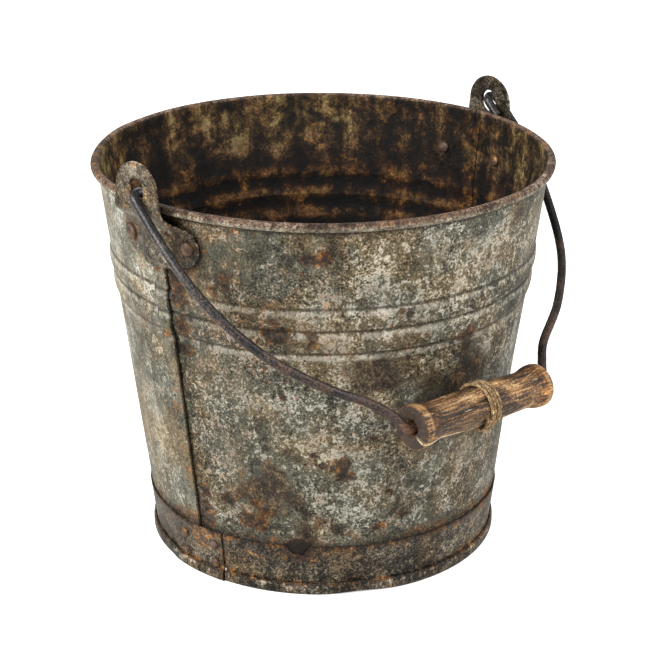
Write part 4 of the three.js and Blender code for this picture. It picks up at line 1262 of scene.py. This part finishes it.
# %% Turning the grip
BORE, END_RADIUS, NECK_RADIUS, WAIST_RADIUS, END_ROUND = 4.6, 13.7, 11.6, 12.3, 2.5
NECK_START, NECK_PLACE, FLARE_END = 8, 38, 50
SPLIT_TURN, SPLIT_LENGTH, SPLIT_WIDTH, SPLIT_DRIFT = -105, 50, 1.7, 20
CRACKS = [(-198, -47, 2, 0.7, 0.35), (-172, -20, 44, 0.8, 0.35), (-150, -50, -12, 0.9, 0.4),
          (-128, 8, 50, 0.8, 0.35), (-118, 4, 40, 0.9, 0.4), (-84, -10, 52, 0.7, 0.35),
          (20, -45, 20, 0.8, 0.4), (70, -20, 48, 0.8, 0.4), (120, -50, 10, 0.8, 0.4), (-30, 0, 50, 0.8, 0.4)]
grip_axis = hanging([along_grip])[0] - hanging([(0, 0)])[0]
grip_side = hanging([(along_grip[1], -along_grip[0])])[0] - hanging([(0, 0)])[0]
grip_down = np.array([0, math.sin(REST_TILT), -math.cos(REST_TILT)])
grip_centre = hanging([GRIP_MIDDLE])[0]
luck = np.random.default_rng(11)
RIDGES = [(k, luck.uniform(0, 360), luck.uniform(-1.2, 1.2), luck.uniform(0.004, 0.026))
          for k in luck.integers(14, 64, 26)]


def on_lathe(radius, along, turn):
    """A point of the grip from its radius, its place along the grip and its turn round it."""
    turn = np.radians(turn)[..., None]
    radius, along = (np.asarray(v, float)[..., None] for v in (radius, along))
    return grip_centre + along * grip_axis + radius * (np.sin(turn) * grip_side + np.cos(turn) * grip_down)


def grip_outline():
    side = np.linspace(-half + END_ROUND, half - END_ROUND, 190)
    radius = WAIST_RADIUS + (NECK_RADIUS - WAIST_RADIUS) * soft_step(np.abs(side), NECK_START, NECK_PLACE)
    radius = radius + (END_RADIUS - NECK_RADIUS) * soft_step(np.abs(side), NECK_PLACE, FLARE_END)
    left = arc(END_RADIUS - END_ROUND, -half + END_ROUND, END_ROUND, 270, 360, 8)
    face = np.linspace(BORE + 1.5, END_RADIUS - END_ROUND - 0.6, 12)
    mouth = [(BORE, -half + 1.5), (BORE + 0.6, -half + 0.5)]
    left_end = np.vstack([mouth, np.column_stack([face, np.full(12, -half)]), left[:-1]])
    right_end = np.column_stack([left_end[:, 0], -left_end[:, 1]])[::-1]
    bore = [(BORE, y) for y in np.linspace(half - 6, -half + 6, 12)]
    return np.vstack([left_end, np.column_stack([radius, side]), right_end, bore])


def carved(radius, along, turn):
    """How far the weather has cut into the grip at a place."""
    outer = soft_step(radius, BORE + 0.5, WAIST_RADIUS - 1)
    cut = sum(size * np.sin(np.radians(k * turn + shift + drift * along)) for k, shift, drift, size in RIDGES)
    cut = cut - 0.18 * np.sin(np.radians(2 * turn + 40)) - 0.12 * np.sin(np.radians(3 * turn + along * 2))
    for at, low, high, depth, wide in CRACKS:
        wander = at + 3.0 * np.sin(along / 9 + at)
        away = ((turn - wander + 180) % 360 - 180) * math.radians(1) * WAIST_RADIUS
        fade = soft_step(along, low, low + 8) * (1 - soft_step(along, high - 8, high))
        cut = cut + depth * fade * np.exp(-0.5 * (away / wide) ** 2)
    open_share = np.clip((SPLIT_LENGTH - half - along) / SPLIT_LENGTH, 0, 1)
    jagged = 1.6 * np.sin(along * 0.55) + 1.1 * np.sin(along * 1.7 + 1) + 0.7 * np.sin(along * 3.9)
    wander = SPLIT_TURN + SPLIT_DRIFT * (1 - open_share) + jagged * np.sqrt(1 - open_share)
    away = ((turn - wander + 180) % 360 - 180) * math.radians(1) * np.maximum(radius, 5)
    reach = SPLIT_WIDTH * (0.12 + 0.88 * open_share ** 2)
    split = (1 - soft_step(np.abs(away), 0.35 * reach, 0.6 * reach)) * (open_share > 0)
    fresh = np.exp(-0.5 * ((away - 0.6 * reach - 0.25) / 0.42) ** 2) * (open_share > 0) * outer
    return outer * (cut + split * (0.6 + 5.4 * open_share ** 1.5)), split, fresh


lathe_profile = grip_outline()
near_split = SPLIT_TURN + np.linspace(-9, 28, 130)
others = np.linspace(SPLIT_TURN + 28, SPLIT_TURN + 351, 162)[1:-1]
lathe_turns = np.concatenate([near_split, others])
grip_rings, grip_places, grip_splits, grip_fresh = [], [], [], []
for turn in lathe_turns:
    radius, along = lathe_profile.T
    turned = np.full(len(radius), turn)
    cut, split, fresh = carved(radius, along, turned)
    end_wear = 0.35 * np.sin(np.radians(5 * turn)) * np.sign(along) * (np.abs(along) > half - 0.1)
    grip_rings.append(on_lathe(np.maximum(radius - cut, BORE), along - end_wear * 0.6, turned))
    flat_turn = math.radians(turn)
    grip_places.append(np.stack([along, radius * math.sin(flat_turn), radius * math.cos(flat_turn)], -1))
    grip_splits.append(split)
    grip_fresh.append(fresh)
grip_points, grip_faces = loft(grip_rings, joined=True)
print("points in the grip:", len(grip_points))

# %% Wood finish
def wood_finish(name):
    finish, start, shader = new_finish(name)
    turned = start.make("ShaderNodeAttribute", {"attribute_name": "turned"}, output="Vector")
    fibre = turned.stretched(0.07, 1, 1).noise(1000, 3, 0.6)
    grain = turned.stretched(0.09, 1, 1).noise(330, 5, 0.6, 0.4)
    patch = turned.stretched(0.4, 1, 1).noise(75, 5, 0.62)
    speck = turned.noise(800, 2, 0.55)
    lathe = turned.stretched(1, 0.08, 0.08).noise(420, 3, 0.6)
    along = turned.part("X") / MM
    reach = along.maths("ABSOLUTE", along)
    tone = blended((fibre, 1.3), (grain, 1.5), (patch, 2.0), (speck, 1.2), (lathe, 0.45))
    tone = tone - 0.18 + along.rise(6, 26) * 0.13
    colour = tone.ramp(
        (0, paint(24, 15, 9)), (0.22, paint(62, 42, 25)), (0.42, paint(106, 77, 48)),
        (0.6, paint(148, 111, 72)), (0.8, paint(188, 147, 100)), (1, paint(226, 196, 152)))
    grey = (1 - along.rise(-16, 10)) * patch.rise(0.42, 0.6)
    colour = colour.tinted(paint(214, 210, 206), grey)
    colour = colour.tinted(paint(255, 218, 160), reach.rise(38, 48) * 0.8)
    lip = near_level(reach, 51.5, 3.4) * blended((lathe, 1.2), (fibre, 1.6)).rise(0.3, 0.6)
    colour = colour.coated(paint(206, 166, 112), lip * 0.5)
    # Darker necks inside the flares: dirt, and painted shade in the hollow of the neck.
    neck_dirt_and_shade = near_level(reach, 41.5, 5) * blended((patch, 1.6), (fibre, 1.4)).rise(0.36, 0.62)
    colour = colour.coated(paint(40, 27, 17), neck_dirt_and_shade * 0.5)
    lines = 1 - turned.stretched(0.06, 1, 1).noise(540, 3, 0.5).rise(0.29, 0.36)
    colour = colour.coated(paint(22, 14, 9), lines * 0.75)
    scratch = turned.stretched(0.1, 1, 1).noise(760, 2, 0.5).rise(0.66, 0.72)
    colour = colour.coated(paint(224, 202, 166), scratch * 0.5)
    face = reach.rise(54.0, 54.8)
    colour = colour.coated(paint(44, 34, 26), face * 0.85)
    split = mark_of(start, "split")
    colour = colour.coated(paint(14, 9, 6), split.rise(0.2, 0.6) * 0.8)
    fresh = mark_of(start, "fresh") * fibre.rise(0.32, 0.5)
    colour = colour.coated(paint(228, 200, 156), fresh * 0.9)
    relief = blended((fibre, 0.5), (grain, 0.6), (speck, 0.8)) - lines * 0.8
    wear(start, shader, Base_Color=colour, Roughness=0.58 + (speck - 0.5) * 0.5,
         Normal=relief.bump(0.0011, 0.9), Specular_IOR_Level=0.4)
    return finish


grip_wood = wood_finish("grip_wood")
grip = new_piece("made_wooden_grip", grip_points, grip_faces, grip_wood,
                 {"turned": np.concatenate(grip_places) * MM, "split": np.concatenate(grip_splits),
                  "fresh": np.concatenate(grip_fresh)})
stand_in(grip, "grip", "grip_wood", "wooden_grip")

# %% [markdown]
# A length of jute twine is wound a few times round the middle of the grip and knotted underneath, where
# its ends have frayed. Twine is three yarns twisted together. A tree copies the path of the twine once
# for each yarn, winds the copies round it as a rope is laid, and gives each yarn a round section. Short
# loose fibres stand out all over it.

# %% Path of the twine
TWINE_PLACE, TWINE_RADIUS, TWINE_TURNS, TWINE_PITCH, KNOT_TURN = 2.4, 1.05, 4.1, 2.3, -70
TWINE_REACH = WAIST_RADIUS + 0.3 + TWINE_RADIUS
CROSS_STEPS, TWINE_SPACING = 46, 0.00035


def wound(turns, places, lifts):
    """Points of the twine from turns round the grip, places along it and lifts off its surface."""
    turned = KNOT_TURN + 360 * np.asarray(turns, float)
    return on_lathe(TWINE_REACH + np.asarray(lifts, float), places, turned)


count = np.linspace(0, TWINE_TURNS, 150)
wavy = 0.22 * np.sin(count * 9.1) + 0.15 * np.sin(count * 23)
coil_places = TWINE_PLACE + (count - TWINE_TURNS / 2) * TWINE_PITCH + wavy
coil = wound(count, coil_places, 0.08 * np.sin(count * 17) - 0.12)
cross_turns = np.linspace(-0.12, 0.42, CROSS_STEPS)
cross_places = TWINE_PLACE + np.linspace(-4.2, 4.0, CROSS_STEPS)
cross_lifts = 0.9 * np.sin(np.linspace(0, np.pi, CROSS_STEPS)) + 0.3
crossing = wound(cross_turns, cross_places, cross_lifts)
knot_share = np.linspace(0, 2 * np.pi, 60)
knot = wound(0.028 * (np.sin(knot_share) + 1.6 * np.sin(2 * knot_share)),
             TWINE_PLACE - 2.0 + 1.5 * (np.cos(knot_share) - 1.3 * np.cos(2 * knot_share)) / 1.3,
             0.75 + 0.5 * np.sin(3 * knot_share))
tail_share = np.linspace(0, 1, 18)
tail_one = wound(-0.01 - 0.115 * tail_share, TWINE_PLACE - 3.4 - 2.6 * tail_share, 0.9 - 0.7 * tail_share)
tail_two = wound(0.02 + 0.09 * tail_share, TWINE_PLACE - 0.6 - 4.6 * tail_share, 1.0 - 0.7 * tail_share)
strands = [coil, crossing, knot, tail_one, tail_two]


def polyline(paths):
    edges, start = [], 0
    for path in paths:
        edges += [(start + k, start + k + 1) for k in range(len(path) - 1)]
        start += len(path)
    return np.concatenate(paths), edges


print("twine in mm:", round(sum(float(np.linalg.norm(np.diff(s, axis=0), axis=1).sum()) for s in strands)))

# %% Twine tree
tree, given, way_out = geometry_tree("laid_twine", {
    "Yarns": ("Int", 3), "Lay Radius": ("Float", 0.00056), "Yarn Radius": ("Float", 0.00054),
    "Twist Length": ("Float", 0.0062), "Fibre Density": ("Float", 300000.0),
    "Fibre Length": ("Float", 0.0013), "Seed": ("Int", 3), "Material": ("Material", None),
})
here = given["Geometry"]
copies = here.make("GeometryNodeDuplicateElements", {"domain": "SPLINE"}, {
    "Geometry": even_line(here, TWINE_SPACING), "Amount": given["Yarns"]})
which = Tap(tree, copies.socket.node.outputs["Duplicate Index"])
length = here.make("GeometryNodeSplineParameter", output="Length")
turn = (length / given["Twist Length"] + which / given["Yarns"]) * (2 * math.pi)
normal = here.make("GeometryNodeInputNormal")
across = here.vector("CROSS_PRODUCT", here.make("GeometryNodeInputTangent"), normal)
first = normal.scaled(turn.maths("COSINE", turn) * given["Lay Radius"])
second = across.scaled(turn.maths("SINE", turn) * given["Lay Radius"])
laid_yarns = here.make("GeometryNodeSetPosition", inputs={
    "Geometry": copies, "Offset": here.vector("ADD", first, second)})
swept = tube(here, laid_yarns, 8, given["Yarn Radius"])
yarns = here.make("GeometryNodeSetShadeSmooth", inputs={"Geometry": swept})
scatter = here.make("GeometryNodeDistributePointsOnFaces", inputs={
    "Mesh": yarns, "Density": given["Fibre Density"], "Seed": given["Seed"]})
outward = Tap(tree, scatter.socket.node.outputs["Normal"])
stray = here.make("FunctionNodeRandomValue", {"data_type": "FLOAT_VECTOR"}, {
    0: (-1.3, -1.3, -1.3), 1: (1.3, 1.3, 1.3), "Seed": given["Seed"]})
fibre_way = here.make("FunctionNodeAlignRotationToVector", {"axis": "Z"}, {
    "Vector": here.vector("ADD", outward, stray)})
fibre = here.make("GeometryNodeMeshCone", inputs={
    "Vertices": 3, "Radius Top": 0.00003, "Radius Bottom": 0.00006, "Depth": given["Fibre Length"]})
fibre_size = here.make("FunctionNodeRandomValue", {"data_type": "FLOAT"}, {
    2: 0.5, 3: 1.6, "Seed": given["Seed"]}, 1)
fibres = here.make("GeometryNodeInstanceOnPoints", inputs={
    "Points": scatter, "Instance": fibre, "Rotation": fibre_way, "Scale": fibre_size})
both = here.make("GeometryNodeJoinGeometry")
for shape in (yarns, here.make("GeometryNodeRealizeInstances", inputs={"Geometry": fibres})):
    tree.links.new(shape.socket, both.socket.node.inputs[0])
leave_tree(both, given, way_out)
laid_twine = tree
print("nodes in the twine tree:", len(laid_twine.nodes))

# %% Twine finish and ends
def twine_finish(name):
    finish, start, shader = new_finish(name)
    place = place_of(start)
    tone = place.noise(420, 4, 0.65) * 0.6 + place.noise(1500, 3, 0.7) * 0.4
    colour = ((tone - 0.5) * 2.6 + 0.5).ramp(
        (0, paint(44, 32, 21)), (0.35, paint(108, 86, 60)),
        (0.65, paint(168, 140, 103)), (1, paint(226, 204, 168)))
    wear(start, shader, Base_Color=colour, Roughness=0.9, Normal=tone.bump(0.0004, 0.5),
         Specular_IOR_Level=0.2)
    return finish


jute = twine_finish("jute_twine")
twine_points, twine_edges = polyline(strands)
twine = grown("made_twine_binding", laid_twine, twine_points, twine_edges, {"Material": jute})
stand_in(twine, "grip", "twine", "twine_binding")

FRAY_FIBRES = 16
fray = []
for tail in (tail_one, tail_two):
    for _ in range(FRAY_FIBRES):
        spread = np.linspace(0, 1, 8)[:, None]
        splay = luck.normal(0, 0.9, 3) * spread ** 1.3 * 1.6
        onward = (tail[-1] - tail[-6]) * spread * luck.uniform(0.5, 1.1)
        fray.append(tail[-2] + onward + splay)
fray_points, fray_edges = polyline(fray)
ends = grown("frayed_ends", drawn_wire, fray_points, fray_edges, {
    "Radius": 0.00013, "Pitting": 0.0, "Spacing": 0.0008, "Sides": 4, "Material": jute})
stand_in(ends, "grip", "twine")
